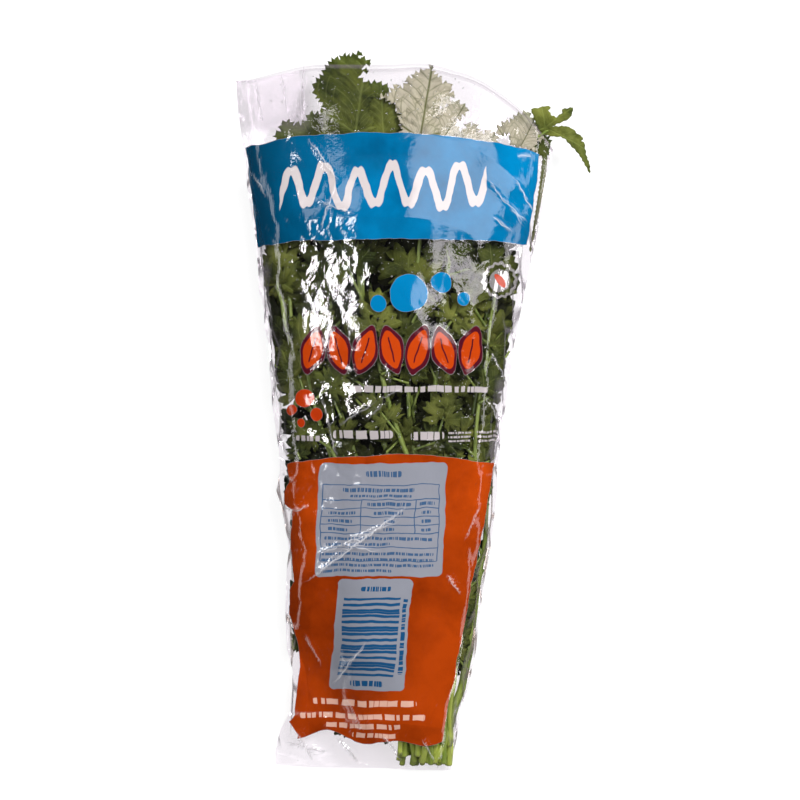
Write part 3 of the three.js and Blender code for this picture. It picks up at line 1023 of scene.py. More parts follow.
def fill_outline(edge, inner):
    """Points and triangles that fill a closed outline by way of some points inside it."""
    loop = list(range(len(edge)))
    points, _, faces, *_ = delaunay_2d_cdt([Vector(p) for p in edge + inner], [], [loop], 1, 1e-5)
    used = sorted({i for face in faces for i in face})
    renumber = {old: new for new, old in enumerate(used)}
    x, y = np.array([(points[i].x, points[i].y) for i in used]).T
    return x, y, [[renumber[i] for i in face] for face in faces]


def leaf_sheet(name, places, faces, uv):
    """A smooth mesh with the UV map that the leaf material reads."""
    mesh = bpy.data.meshes.new(name)
    mesh.from_pydata(places.tolist(), [], faces)
    set_uv(mesh, "leaf", uv)
    mesh.polygons.foreach_set("use_smooth", [True] * len(mesh.polygons))
    return mesh


def leaflet_mesh(name, cuts, teeth, steps, pitch, seed):
    """A triangulated leaflet with puckers. The pitch is that of its inner points."""
    shape = np.random.default_rng(seed + 100)
    inner = []
    for gx in np.arange(-0.84, 0.86, pitch):
        for gy in np.arange(0.08, 1.0, pitch):
            inner.append((gx + shape.uniform(-0.25, 0.25) * pitch, gy + shape.uniform(-0.25, 0.25) * pitch))
    x, y, faces = fill_outline(leaflet_outline(cuts, teeth, steps, seed), inner)
    r = np.hypot(x, y - 0.16)
    angle = np.arctan2(x, y - 0.16 + 1e-6)
    phase = shape.uniform(0, TURN, 3)
    z = -0.2 * r**2 + 0.1 * np.cos(5.6 * angle + phase[0]) * r
    z = z + 0.06 * np.sin(9 * x + phase[0]) * np.sin(8 * y + phase[1])
    z = z + 0.1 * r * np.sin(9 * angle + phase[2])
    return leaf_sheet(name, np.stack([x, y, z], axis=-1), faces, np.stack([x / 2 + 0.5, y], axis=-1))


TWO_CUTS, FOUR_CUTS = (-0.62, 0.66), (-1.35, -0.5, 0.46, 1.3)
fine_kinds = [
    leaflet_mesh("fine_leaflet_a", TWO_CUTS, 2.9, 61, 0.14, 41),
    leaflet_mesh("fine_leaflet_b", FOUR_CUTS, 2.6, 65, 0.14, 42),
    leaflet_mesh("fine_leaflet_c", TWO_CUTS, 3.3, 67, 0.14, 43),
    leaflet_mesh("fine_leaflet_d", (-1.0, 0.05, 1.1), 2.8, 61, 0.14, 44),
]
plain_kinds = [
    leaflet_mesh("plain_leaflet_a", TWO_CUTS, 2.4, 27, 0.36, 61),
    leaflet_mesh("plain_leaflet_b", FOUR_CUTS, 2.1, 31, 0.36, 62),
    leaflet_mesh("plain_leaflet_c", (-0.9, 0.1, 1.0), 2.3, 27, 0.36, 63),
]
print("faces of a leaflet", [len(m.polygons) for m in fine_kinds + plain_kinds])

# %% Leaf seats
# Turn, share of the size and place ahead of the neck, for each of a leaf's three leaflets.
SIDES = ((0.0, 1.0, 0.42), (1.15, 0.8, 0.14), (-1.15, 0.8, 0.14))
TWIG_STEPS = 5
seats = []  # x, y, level, heading, size, tilt, roll, hue
twigs = []  # paths and radii of the side stalks


def twig(start, end, level, radius):
    t = np.linspace(0, 1, TWIG_STEPS)
    x, y = mix(start[0], end[0], t), mix(start[1], end[1], t)
    twigs.append((into_sleeve(x, y, level, gap=1.6), radius * np.linspace(1.15, 0.85, TWIG_STEPS)))


def between_welds(x, y, half_width):
    """Shifts a leaflet's middle sideways where it would cross a weld, or the clear margin of the panel."""
    across, along = (float(v[0]) for v in sleeve_place(np.array([x]), np.array([y])))
    half = (np.interp(along, ALONG, RIGHT) - np.interp(along, ALONG, LEFT)) / 2
    limit = 0.97 - 0.1 * float(plateau(along, 0.3, 0.34, 0.43, 0.46))
    over = abs(across) + half_width / half - limit
    return -math.copysign(max(0.0, over) * half, across)


def compound_leaf(neck, level, heading, size, hue):
    """Three leaflets: one ahead and one to each side, on short stalks."""
    hx, hy = -math.sin(heading), math.cos(heading)
    for turn, share, ahead in SIDES:
        a = heading + turn + rng.uniform(-0.14, 0.14)
        base = (neck[0] + hx * size * ahead, neck[1] + hy * size * ahead)
        middle = (base[0] - math.sin(a) * 0.45 * size * share, base[1] + math.cos(a) * 0.45 * size * share)
        shift = between_welds(*middle, 0.42 * size * share)
        lift = level + rng.uniform(-0.04, 0.04)
        tilt, roll = rng.uniform(-0.45, 0.3), rng.uniform(-0.55, 0.55)
        tone = np.clip(hue + rng.uniform(-0.3, 0.3), 0, 1)
        seats.append((base[0] + shift, base[1], lift, a, size * share, tilt, roll, tone))
    twig(neck, (neck[0] + hx * size * 0.5, neck[1] + hy * size * 0.5), level, 0.5)


for stem in stems:
    hand = 1 if rng.random() < 0.5 else -1
    at = rng.uniform(0.13, 0.26)
    while at < stem.tip - 0.03:
        x, y = (float(v) for v in stem.plan(at))
        size = rng.uniform(10.5, 18) * mix(0.8, 1.05, float(smooth(at, 0.2, 0.6)))
        heading = -hand * rng.uniform(0.3, 1.3)
        level = float(stem.level_at(at)) + rng.uniform(0.02, 0.2)
        reach = size * rng.uniform(0.35, 0.6)
        neck = (x - math.sin(heading) * reach, y + math.cos(heading) * reach)
        twig((x, y), neck, level, 0.55)
        compound_leaf(neck, level, heading, size, rng.uniform(0, 1))
        hand = -hand
        at += rng.uniform(0.06, 0.1)
    x, y = (float(v) for v in stem.plan(stem.tip))
    level = float(stem.level) + 0.1
    compound_leaf((x, y), level, rng.uniform(-0.3, 0.3), rng.uniform(15, 19), rng.uniform(0, 1))

LOW_LEAVES = (
    # x, y, heading, level of a few small leaves beside and below the orange panel
    (-52, -92, 0.5, 0.7), (-53, -104, 0.2, 0.6), (-50, -20, 0.4, 0.8), (27, -66, -0.5, 0.8),
    (-40, -137, 1.2, 0.3), (-9, -140, 1.5, 0.5), (-24, -139, 1.6, 0.4), (-2, -142, 0.9, 0.7),
)
for x, y, heading, level in LOW_LEAVES:
    compound_leaf((x, y), level, heading, 8, 0.3)

# Leaves deep in the bunch close the gaps, so the table doesn't show through.
for along in np.arange(0.2, 0.85, 0.031):
    for across in np.arange(-0.88, 0.9, 0.17):
        spot = (across + rng.uniform(-0.09, 0.09), along + rng.uniform(-0.015, 0.015))
        x, y = float(plan_x(*spot)), float(plan_y(*spot))
        size, level = rng.uniform(12, 15), rng.uniform(0.2, 0.5)
        shift = between_welds(x, y, 0.45 * size)
        seats.append((x + shift, y - 0.4 * size, level, rng.uniform(-0.8, 0.8), size, 0.0, 0.0, 0.3))
seats = np.array(seats)
print("leaf seats", len(seats), "side stalks", len(twigs))

# %% Leaf tree
def leaf_tree():
    inputs = {"Leaflets": ("Collection", None), "Kinds": ("Int", 3), "Seed": ("Int", 1)}
    tree = new_tree("set_leaves", {**inputs, "Material": ("Material", None)})
    given = tree.nodes.new("NodeGroupInput").outputs
    shapes = add(
        tree,
        "GeometryNodeCollectionInfo",
        {"transform_space": "RELATIVE"},
        Collection=given["Leaflets"],
        Separate_Children=True,
        Reset_Children=True,
    )
    tilt, roll, heading, size = (carried(tree, name) for name in ("tilt", "roll", "heading", "size"))
    turn = add(tree, "ShaderNodeCombineXYZ", X=tilt, Y=roll, Z=heading)
    last = maths(tree, "SUBTRACT", given["Kinds"], 1)
    pick = add(tree, "FunctionNodeRandomValue", {"data_type": "INT"}, Min=0, Max=last, Seed=given["Seed"])
    placed = add(
        tree,
        "GeometryNodeInstanceOnPoints",
        Points=add(tree, "GeometryNodeMeshToPoints", Mesh=given["Geometry"]),
        Instance=shapes,
        Pick_Instance=True,
        Instance_Index=pick,
        Rotation=add(tree, "FunctionNodeEulerToRotation", Euler=turn),
        Scale=add(tree, "ShaderNodeCombineXYZ", X=size, Y=size, Z=size),
    )
    return finish_tree(tree, placed, given["Material"])


LEAF_TREE = leaf_tree()
SEAT_NUMBERS = ("level", "heading", "size", "tilt", "roll", "hue")  # after x and y


def scatter(name, rows, kinds, seed, material):
    """Small shapes on their seats, as one mesh. In this flat stage one metre stands for one millimetre."""
    collection = bpy.data.collections.new(name + "_kinds")
    for mesh in kinds:
        collection.objects.link(bpy.data.objects.new(mesh.name, mesh))
    mesh = bpy.data.meshes.new(name)
    mesh.from_pydata([(r[0], r[1], 0.0) for r in rows], [], [])
    for column, key in enumerate(SEAT_NUMBERS, start=2):
        set_attribute(mesh, key, rows[:, column])
    inputs = {"Leaflets": collection, "Kinds": len(kinds), "Seed": seed, "Material": material}
    obj = run_tree(add_object(name, mesh), LEAF_TREE, inputs)
    for shape in list(collection.objects):
        bpy.data.objects.remove(shape)
    bpy.data.collections.remove(collection)
    return obj


print("leaf tree", len(LEAF_TREE.nodes), "nodes")

# %% Setting the leaves
def set_leaves(name, rows, kinds, seed, thickness):
    """Leaflets on their seats, bent into the sleeve and given a thickness."""
    obj = scatter(name, rows, kinds, seed, leaf_green)
    x, y, relief = get_places(obj.data).T
    level = get_attribute(obj.data, "level")
    set_places(obj.data, into_sleeve(x, y, level, relief, gap=1.3))
    # The lit number sets how much painted shade a leaf gets. Near the welds and the hem the bunch is thin, so
    # a leaf at any level is in the light there.
    across, along = sleeve_place(x, y)
    open_to_light = np.maximum(0.65 * smooth(np.abs(across), 0.6, 0.9), 1 - smooth(along, 0.06, 0.12))
    set_attribute(obj.data, "lit", np.clip(level + 0.5 * open_to_light, 0, 1))
    thicken(obj, thickness, 0)
    print(name, len(rows), "leaflets", len(obj.data.polygons), "faces")
    return obj


upper = seats[:, 2] > 0.66
leaves_upper = set_leaves("leaves_upper", seats[upper], fine_kinds, 3, 0.28)
leaves_lower = set_leaves("leaves_lower", seats[~upper], plain_kinds, 5, 0.35)

twig_paths, twig_radii = zip(*twigs)
side_stalks = sweep(
    "side_stalks",
    twig_paths,
    twig_radii,
    3,
    0.05,
    {
        "up_stem": np.full(TWIG_STEPS * len(twigs), 0.8),
        "hue": np.repeat(rng.uniform(0, 1, len(twigs)), TWIG_STEPS),
    },
)

# %% [markdown]
# ## Leaves at the mouth
# Near the mouth the leaves thin out, and each one can be made out against the light. These are drawn one
# by one as outlines in the plan, filled with triangles, puckered along their ribs and laid under the
# film. One has slipped out of the right corner and curls over the edge of the film.

# %% Leaf outlines
MOUTH_LEAVES = {
    # name: (level, hue, rib from, rib to, outline)
    "tall": (
        0.93, 0.4, (-26, 118), (-20, 158),
        [
            (-36, 154), (-34.5, 155.2), (-32, 155.3), (-30.6, 156.9), (-27.4, 156.5), (-23.6, 157.8),
            (-24.2, 156), (-25.4, 154.7), (-22.9, 155.5), (-20.8, 154.7), (-19.3, 153.4), (-21, 152.6),
            (-23.5, 152), (-22, 150.5), (-20.2, 150), (-22.2, 149.2), (-24.1, 148.5), (-23.5, 146.6),
            (-21.5, 144.9), (-19.4, 143.3), (-19.9, 141.6), (-17.2, 139.4), (-18.6, 136.9),
            (-20.1, 132.7), (-19.4, 127.4), (-20, 118), (-40, 118), (-38, 125.4), (-39.1, 128.5),
            (-40.6, 131.5), (-38.6, 133.2), (-40.2, 136), (-42, 139), (-43, 142.2), (-42.2, 145.4),
            (-39.6, 148.4), (-38.5, 151.1),
        ],
    ),
    "second": (
        0.84, 0.4, (-13, 116), (-14, 143),
        [
            (-20, 142), (-15.8, 143.5), (-11.4, 142.1), (-12.4, 139.8), (-9.5, 137.7), (-8.2, 135.1),
            (-8.8, 133), (-6.3, 130.8), (-5.1, 127.5), (-6.3, 125.4), (-5.5, 122.2), (-6, 116),
            (-22, 116), (-21, 130),
        ],
    ),
    "low_left": (
        0.7, 0.45, (-43, 116), (-48, 127),
        [
            (-60, 122.2), (-58.1, 124), (-57.7, 126.4), (-55.4, 127.7), (-53.7, 127.4), (-52.2, 126.4),
            (-51.4, 127.1), (-49, 126.8), (-46.6, 128.7), (-45, 130.8), (-40.8, 130.2), (-37, 128),
            (-36, 118), (-45, 118.5), (-50, 118.4), (-57.7, 119.8), (-59.6, 120.8),
        ],
    ),
    "feathery": (
        0.94, 0.85, (2, 116), (8.2, 152),
        [
            (8.1, 152.2), (7.7, 151.2), (9.4, 148.5), (12.2, 146.4), (11.2, 144.8), (14.9, 144.3),
            (16.4, 142.2), (14.3, 141.1), (17.5, 139.5), (15.9, 138), (14.3, 136.7), (16.4, 136.1),
            (13.8, 134.8), (11.7, 133.7), (10.1, 131.6), (10.6, 129.5), (8.5, 127.9), (10.1, 116),
            (-4.7, 116), (-4.1, 125.3), (-6.2, 127.4), (-5.7, 130.6), (-7.8, 132.7), (-7, 134.3),
            (-10.4, 136.4), (-13.6, 138.5), (-10.6, 139), (-7.8, 143.2), (-6.7, 142.2), (-4.6, 142.7),
            (-2.8, 144.8), (-3, 146.2), (-0.4, 146.9), (0.6, 148.5), (4.3, 150.1), (5.4, 149.5),
            (6.9, 151.1),
        ],
    ),
    "feathery_side": (
        0.9, 0.95, (11, 117), (21, 133),
        [
            (10.1, 131.6), (14.3, 133.7), (18, 135.8), (22.2, 133.7), (22.2, 131.4), (19.6, 130),
            (20.6, 128.9), (17.5, 127.9), (18.5, 125.3), (19, 123.2), (17, 121), (14.8, 116), (8, 116),
            (8, 126),
        ],
    ),
    "small": (
        0.85, 0.9, (28, 116), (27, 126),
        [
            (19.6, 122.6), (22.2, 123.2), (23.3, 126.3), (25.4, 125.5), (26.9, 126.3), (28.5, 123.2),
            (30.6, 122.6), (32.7, 123.7), (33.3, 122.1), (35.4, 121), (34, 116), (27.5, 115), (20.1, 118),
        ],
    ),
    "corner": (
        0.93, 0.8, (44, 112), (52, 127),
        [
            (37, 124.7), (40.1, 127.4), (42.2, 127.9), (45.4, 130.5), (49.6, 131.6), (51.7, 129.5),
            (54.9, 126.3), (57.5, 123.7), (55.9, 120.5), (52.8, 118.9), (52.8, 115.8), (48.6, 116.8),
            (44.4, 117.4), (42.2, 119.5), (42.8, 122.1), (39.6, 122.6), (38, 122),
        ],
    ),
    "at_the_edge": (
        0.8, 0.3, (52, 116), (60, 119),
        [
            (51.9, 116.6), (54.5, 118.6), (56.4, 120.9), (59.2, 121.6), (60.3, 120.4), (61.4, 118.7),
            (60, 117.6), (60.9, 115.4), (59.2, 113.7), (55.9, 113.9),
        ],
    ),
    "beside_the_band": (
        0.45, 0.3, (52.6, 76), (57.6, 110),
        [
            (52.2, 74), (53.4, 84), (54.8, 94), (56, 104), (57, 112), (59.4, 113), (59.3, 104),
            (57.6, 92), (55.4, 80), (53.8, 73.5),
        ],
    ),
}
PALE_SIDE = {"feathery": 0.75, "feathery_side": 0.85, "small": 0.9, "corner": 0.75, "beside_the_band": 0.3}
STRAY_LEAF = [
    (51.8, 133.3), (55, 134), (58.1, 134.8), (60.1, 134.4), (59.3, 132.8), (60.7, 130.8), (62.8, 130.1),
    (65.3, 132), (65.4, 133.4), (69.8, 134.2), (69.5, 131.7), (68.4, 129.6), (65.5, 128), (62.8, 127),
    (61.5, 126), (66.5, 126), (69.7, 124.9), (71.8, 122.8), (74.4, 121.2), (73.9, 119.6), (75, 119),
    (76, 113.8), (77.6, 110.1), (78, 106.4), (76.2, 108.9), (72.7, 114), (68.6, 118), (66.5, 120.4),
    (64.4, 121.5), (61.3, 121.7), (58.7, 122.6), (55.5, 124.5), (53.5, 128.5),
]
outlines = [STRAY_LEAF, *(leaf[-1] for leaf in MOUTH_LEAVES.values())]
print("outlines", len(outlines), "points", sum(len(outline) for outline in outlines))

# %% Drawing a leaf
TOOTH_PITCH, TOOTH_DEPTH = 2.4, 1.3
FILL_PITCH = 1.1  # between the points inside a drawn leaf
DRAWN_THICKNESS = 0.3


def serrate(outline, pitch, depth):
    """Adds pointed teeth to an outline that runs clockwise."""
    toothed = []
    for (x0, y0), (x1, y1) in zip(outline, outline[1:] + outline[:1]):
        length = math.hypot(x1 - x0, y1 - y0)
        teeth = round(length / pitch)
        toothed.append((x0, y0))
        out_x, out_y = -(y1 - y0) / length * depth, (x1 - x0) / length * depth
        for k in range(teeth):
            for t, bulge in ((0.22, 0.3), (0.5, 1.0), (0.66, 0.25), (0.92, -0.4)):
                at = (k + t) / teeth
                if at < 0.97:
                    toothed.append((mix(x0, x1, at) + out_x * bulge, mix(y0, y1, at) + out_y * bulge))
    return toothed


def deepen(outline, share):
    """Draws the lobes of an outline further out and the cuts between them further in."""
    spots = np.array(outline)
    soft = sum(np.roll(spots, shift, axis=0) for shift in (-2, -1, 0, 1, 2)) / 5
    return [tuple(p) for p in spots + share * (spots - soft)]


def drawn_leaf(name, outline, rib, height, hue, pale=0.0, tooth=TOOTH_DEPTH, lobes=0.35):
    """A leaf from its outline in the plan, in mm. The height function turns plan points into places."""
    outline = deepen(outline, lobes)
    turns = sum(x0 * y1 - x1 * y0 for (x0, y0), (x1, y1) in zip(outline, outline[1:] + outline[:1]))
    edge = serrate(outline if turns < 0 else outline[::-1], TOOTH_PITCH, tooth)
    corners = np.array(outline)
    columns, rows = (np.arange(corners[:, k].min(), corners[:, k].max(), FILL_PITCH) for k in (0, 1))
    x, y, faces = fill_outline(edge, [(column, row) for column in columns for row in rows])
    along, side, length = along_line(x, y, *rib)
    uv = np.stack([side / length / 2 + 0.5, along / length], axis=-1)
    mesh = leaf_sheet(name, height(x, y, along, side) * MM, faces, uv)
    mesh.materials.append(leaf_green)
    for key, value in {"hue": hue, "lit": 1.0, "pale": pale}.items():
        set_attribute(mesh, key, np.full(len(x), value))
    return thicken(add_object(name, mesh), DRAWN_THICKNESS, 0)


def under_film(level):
    """Puckers that run out sideways from the rib, on a leaf held at one level."""

    def place(x, y, along, side):
        drift = 1.5 * np.sin(0.33 * x + 0.5 * y) + 1.1 * np.sin(0.6 * x - 0.41 * y)
        puckers = 0.6 * np.sin(1.1 * (along - 0.8 * np.abs(side)) + drift) * np.minimum(1, np.abs(side) / 3)
        curls = 1.1 * np.sin(0.5 * x + 1) * np.sin(0.45 * y)
        curls = curls + 0.4 * np.sin(1.3 * x + 0.6 * y) * np.sin(1.2 * y - 0.3 * x)
        relief = -1.2 * np.exp(-np.abs(side) / 1.5) + puckers + curls - 0.8
        return into_sleeve(x, y, level, relief, reach=0.985, gap=1.0)

    return place


STRAY_RIBS = (((58, 124), (72, 121)), ((72, 121), (78, 107)), ((58, 127), (68, 133)))


def curling_out(x, y, _along, _side):
    """The stray leaf rises over the film's edge and comes down to the table."""
    reach = np.hypot(x - 57.8, y - 124)
    z = 10.5 + 5 * np.sin(reach / 8) - 0.008 * reach**2
    for (ax, ay), (bx, by) in STRAY_RIBS:
        length = math.hypot(bx - ax, by - ay)
        s = np.clip(((x - ax) * (bx - ax) + (y - ay) * (by - ay)) / length**2, 0, 1)
        z = z - 0.9 * np.exp(-np.hypot(x - mix(ax, bx, s), y - mix(ay, by, s)) / 0.9)
    z = z + 0.35 * np.sin(1.1 * x + 0.4) * np.sin(0.9 * y)
    return np.stack([x, y, np.maximum(z, 1.0)], axis=-1)


print("top of the stray leaf", float(curling_out(70.0, 124.0, 0, 0)[2].round(1)), "mm")

# %% Drawn leaves
mouth_leaves = [
    drawn_leaf(
        "mouth_leaf_" + name,
        outline,
        (start, end),
        under_film(level),
        hue,
        pale=PALE_SIDE.get(name, 0.0),
        tooth=0.4 if name == "beside_the_band" else TOOTH_DEPTH,
    )
    for name, (level, hue, start, end, outline) in MOUTH_LEAVES.items()
]
stray = drawn_leaf("stray_leaf", STRAY_LEAF, ((56, 127), (76, 116)), curling_out, 0.9, tooth=0.3, lobes=0.1)
print("mouth leaves", len(mouth_leaves), "faces of the stray leaf", len(stray.data.polygons))

# %% Stalks of the drawn leaves
HANGING_STALK = np.array(
    [(36, 84, 15), (42, 100, 13.5), (49, 114, 12), (54, 121, 11), (58.5, 124.2, 10.6), (61, 124.4, 11)]
)
STALK_STEPS, HANGING_STEPS = 12, 26
mouth_paths, mouth_radii = [], []
for name, (level, _, start, _, _) in MOUTH_LEAVES.items():
    if name == "beside_the_band":
        continue  # its stalk is lost among the others
    t = np.linspace(0, 1, STALK_STEPS)
    x, y = mix(start[0] * 0.93 - 1, start[0], t), mix(start[1] - 34, start[1] - 2, t)
    mouth_paths.append(into_sleeve(x, y, level * 0.97, reach=0.97, gap=1.8))
    mouth_radii.append(np.linspace(1.0, 0.35, STALK_STEPS))
bends = range(len(HANGING_STALK))
steps = np.linspace(0, bends[-1], HANGING_STEPS)
mouth_paths.append(np.stack([np.interp(steps, bends, column) for column in HANGING_STALK.T], axis=-1))
mouth_radii.append(np.linspace(0.95, 0.5, HANGING_STEPS))
count = sum(len(path) for path in mouth_paths)
mouth_stalks = sweep(
    "mouth_stalks",
    mouth_paths,
    mouth_radii,
    4,
    0.08,
    {"up_stem": np.full(count, 0.8), "hue": np.full(count, 0.7)},
)

# %% [markdown]
# ## Dew
# Fresh herbs breathe inside the bag, so tiny drops sit on the inside of the film. Each is a small dome
# of a few dozen faces. The same tree that set the leaves sets them, and they are lifted to the film.

# %% Drops
def drop_mesh():
    """A dome that hangs from its flat side."""
    rings, around, depth = 4, 8, 0.55
    points = [(0, 0, -depth)]
    for ring in range(1, rings + 1):
        tilt = ring / rings * math.pi / 2
        wide, low = math.sin(tilt), -depth * math.cos(tilt)
        for k in range(around):
            turn = 2 * math.pi * k / around
            points.append((wide * math.cos(turn), wide * math.sin(turn), low))
    faces = [(0, 1 + (k + 1) % around, 1 + k) for k in range(around)]
    for ring in range(rings - 1):
        for k in range(around):
            a, b = 1 + ring * around + k, 1 + ring * around + (k + 1) % around
            faces.append((a, b, b + around, a + around))
    faces.append(tuple(1 + (rings - 1) * around + k for k in range(around)))
    mesh = bpy.data.meshes.new("drop")
    mesh.from_pydata(points, [], faces)
    mesh.uv_layers.new(name="leaf")
    mesh.polygons.foreach_set("use_smooth", [True] * len(mesh.polygons))
    return mesh


def dew_material():
    graph = Graph("dew")
    rough = graph.noise(graph.own_place(), 300.0, 1.0).ramp(0.3, 0.7, 0.03, 0.1)
    wet = graph.principled(Base_Color=(0.9, 0.92, 0.9, 1), Metallic=0.9, Roughness=rough)
    facing = graph.node("ShaderNodeFresnel", None, IOR=1.6)
    clear = graph.node("ShaderNodeBsdfTransparent", None, Color=(1, 1, 1, 1))
    return graph.surface(graph.node("ShaderNodeMixShader", None, (facing + 0.1).least(1.0), clear, wet))


DROPS = 1700
drop_across = rng.uniform(-0.86, 0.86, DROPS)
drop_along = rng.uniform(0.3, 0.99, DROPS)
drop_spots, _ = film_points(drop_across, drop_along, True)
drop_rows = np.zeros((DROPS, 2 + len(SEAT_NUMBERS)))
drop_rows[:, 0:3] = drop_spots - (0, 0, 0.12)  # a drop's level is its height in mm
drop_rows[:, 3] = rng.uniform(0, TURN, DROPS)
drop_rows[:, 4] = 0.14 + 0.4 * rng.uniform(0, 1, DROPS) ** 3
drops = scatter("drops", drop_rows, [drop_mesh()], 9, dew_material())
lifted = get_places(drops.data)
lifted[:, 2] += get_attribute(drops.data, "level")
set_places(drops.data, lifted)
print("drops", DROPS, "faces", len(drops.data.polygons))

# %% [markdown]
# ## The film and its print
# The film is nearly clear, faintly milky and very glossy. Only its front is printed: a blue band near
# the mouth, an orange panel over the lower part, and two pale panels on it for small print. The print is
# a set of masks in the film's flat millimetres. Where there is ink the film is nearly opaque, and the
# gloss over ink and clear film is the same. Names and signs are left out: the panels carry plain
# ornament and greeked lines instead.

# %% Print masks
INK_EDGE = 0.12  # softness of a printed edge, in mm


def inside(distance):
    """1 where a distance is below zero."""
    return distance.ramp(-INK_EDGE, INK_EDGE, 1.0, 0.0)


def rounded_box(x, y, centre, size, radius):
    """Distance to a box with rounded corners."""
    dx = ((x - centre[0]).abs() - (size[0] / 2 - radius)).most(0.0)
    dy = ((y - centre[1]).abs() - (size[1] / 2 - radius)).most(0.0)
    return (dx * dx + dy * dy) ** 0.5 - radius


def band(v, low, high):
    """1 between two limits."""
    return inside((v - (low + high) / 2).abs() - (high - low) / 2)


def polyline(v, table):
    """Runs straight from point to point of a table of v and the value there."""
    (low, value), (high, end) = table[:2]
    out = v.ramp(low, high, value, end)
    for (low, value), (high, end) in zip(table[1:], table[2:]):
        out = out + v.ramp(low, high, 0.0, end - value)
    return out


def greeked(x, y, centre, size, gap, seed):
    """A line of small print with nothing to read: bars of uneven length."""
    place = x * gap + seed
    cell = x.graph.node("ShaderNodeTexNoise", {"noise_dimensions": "1D"}, W=place, Scale=1.0, Detail=0.0)
    row = inside(rounded_box(x, y, centre, size, size[1] / 3))
    return row * cell.ramp(0.4, 0.43)


def greeked_lines(x, y, lines):
    """Several such lines, each given by its centre, size, gap and seed."""
    shown = greeked(x, y, *lines[0])
    for line in lines[1:]:
        shown = shown.most(greeked(x, y, *line))
    return shown


PANEL_LEFT = (
    # y, x of the orange panel's left edge, which jumps where the film is folded over beside the weld
    (-142, -51), (-136, -55), (-133, -52.4), (-124.5, -52), (-111, -49.3), (-101, -50.8), (-88, -54.8),
    (-77, -54.2), (-74, -52.5), (-66, -53), (-53, -54), (-42, -52.6), (-40, -56.8), (-34.5, -56.4),
    (-30, -54.3), (-21, -55.8),
)


def print_masks(x, y):
    """Masks of each ink, from the bottom one up."""
    masks = {}
    # The blue band follows the film, bowed a little upwards.
    top = 122 - (x + 16) * (x + 16) * 0.00158 - y
    low = y - 75.4 + (x + 7) * (x + 7) * 0.0005
    right = 49.6 + (y - 73.7) * 0.145 - x
    left = x + 68.6 + (y - 73.7) * 0.112
    masks["blue"] = inside(-(top.least(low).least(right).least(left)))
    # A brushed wave in the band.
    wx = x + 13
    wave = y - 98.5 - (wx * 0.43).sin() * 7.5 - (wx * 0.19 + 0.8).sin() * 1.4
    slope = (wx * 0.43 + 1.571).sin() * 3.2
    distance = wave.abs() / (slope * slope + 1.0) ** 0.5 - 1.75
    masks["wave"] = inside(distance.most(wx.abs() - 45))
    # Orange panel.
    top = -17.7 - (x + 10) * (x + 10) * 0.0021 - y
    right = 35.6 + (y + 22) * 0.19 - x
    left = x - polyline(y, PANEL_LEFT)
    low = y + 143.2 + (x * 0.21).sin() * 1.6 + (x * 0.09 + 2.0).sin() * 1.8
    masks["orange"] = inside(-(top.least(right).least(left).least(low)))
    # Two pale panels.
    sx = x - (y + 46) * 0.045
    panel = rounded_box(sx, y, (-14.2, -46.2), (55.5, 49.5), 2.2)
    tx = x - (y + 96) * 0.09
    small = rounded_box(tx, y, (-18.6, -96.6), (32.3, 49.0), 2.2)
    masks["pale"] = inside(panel.least(small))
    masks["panel_at"] = (sx, panel, tx, small)
    return masks


print("printed edges are", 2 * INK_EDGE, "mm soft")

# %% Print on the panels
PANEL_PRINT = (
    # y, x, width, height of each greeked line on the large pale panel
    (-26.2, -14, 15, 2.3), (-33.0, -16, 31, 1.7), (-35.6, -15, 27, 1.1),
    (-39.4, -11, 19, 1.5), (-39.4, 5.5, 7, 1.5),
    (-43.2, -31, 12, 1.3), (-43.2, -11, 13, 1.3), (-43.2, 5.5, 4, 1.3),
    (-46.8, -32, 11, 1.3), (-46.8, -11, 5, 1.3), (-46.8, 5.5, 4, 1.3),
    (-50.4, -33, 9, 1.3), (-50.4, -11, 5, 1.3), (-50.4, 5.5, 4, 1.3),
    (-54.3, -15, 47, 1.3), (-56.9, -24, 28, 1.2), (-61.0, -15, 49, 1.2),
    (-63.6, -15, 49, 1.2), (-66.2, -15, 49, 1.2), (-68.6, -24, 30, 1.1),
)


def panel_lines(masks, y):
    """Blue rules and small print on the pale panels."""
    sx, panel, tx, small = masks["panel_at"]
    frame_line = inside(rounded_box(sx, y, (-14.6, -47.5), (51, 33.5), 0.4).abs() - 0.17)
    rules = band(y, -37.6, -37.2).most(band(y, -41.4, -41.05)).most(band(y, -45.0, -44.65))
    rules = rules.most(band(y, -48.6, -48.25)).most(band(y, -52.2, -51.85)).most(band(y, -58.4, -58.05))
    across = band(sx, -40.0, 10.9)
    columns = band(sx, -23.2, -22.85).most(band(sx, 0.5, 0.85)) * band(y, -52.0, -37.4)
    lines = (rules * across).most(columns).most(frame_line)
    for row, (cy, cx, wide, tall) in enumerate(PANEL_PRINT):
        lines = lines.most(greeked(sx, y, (cx, cy), (wide, tall), 1.4, 3.7 * row) * 0.85)
    lines = lines * inside(panel + 0.8)
    # Even stripes on the small panel.
    stripes = inside(y.wrap(2.6).abs() - 0.62).most(inside((y + 1.1).wrap(7.8).abs() - 0.5))
    stripes = stripes * band(tx, -31.5, -6.8) * band(y, -115.0, -80.2)
    title = greeked(tx, y, (-18.5, -76.4), (13, 2.0), 1.2, 5.0)
    foot = greeked(tx, y, (-18.5, -118.2), (14, 2.4), 1.0, 9.0)
    side = greeked(y, tx, (-97.0, -4.6), (33, 1.8), 0.9, 2.0)
    return lines.most(stripes.most(title).most(foot).most(side) * inside(small + 0.8))


print("greeked lines on the large panel", len(PANEL_PRINT))

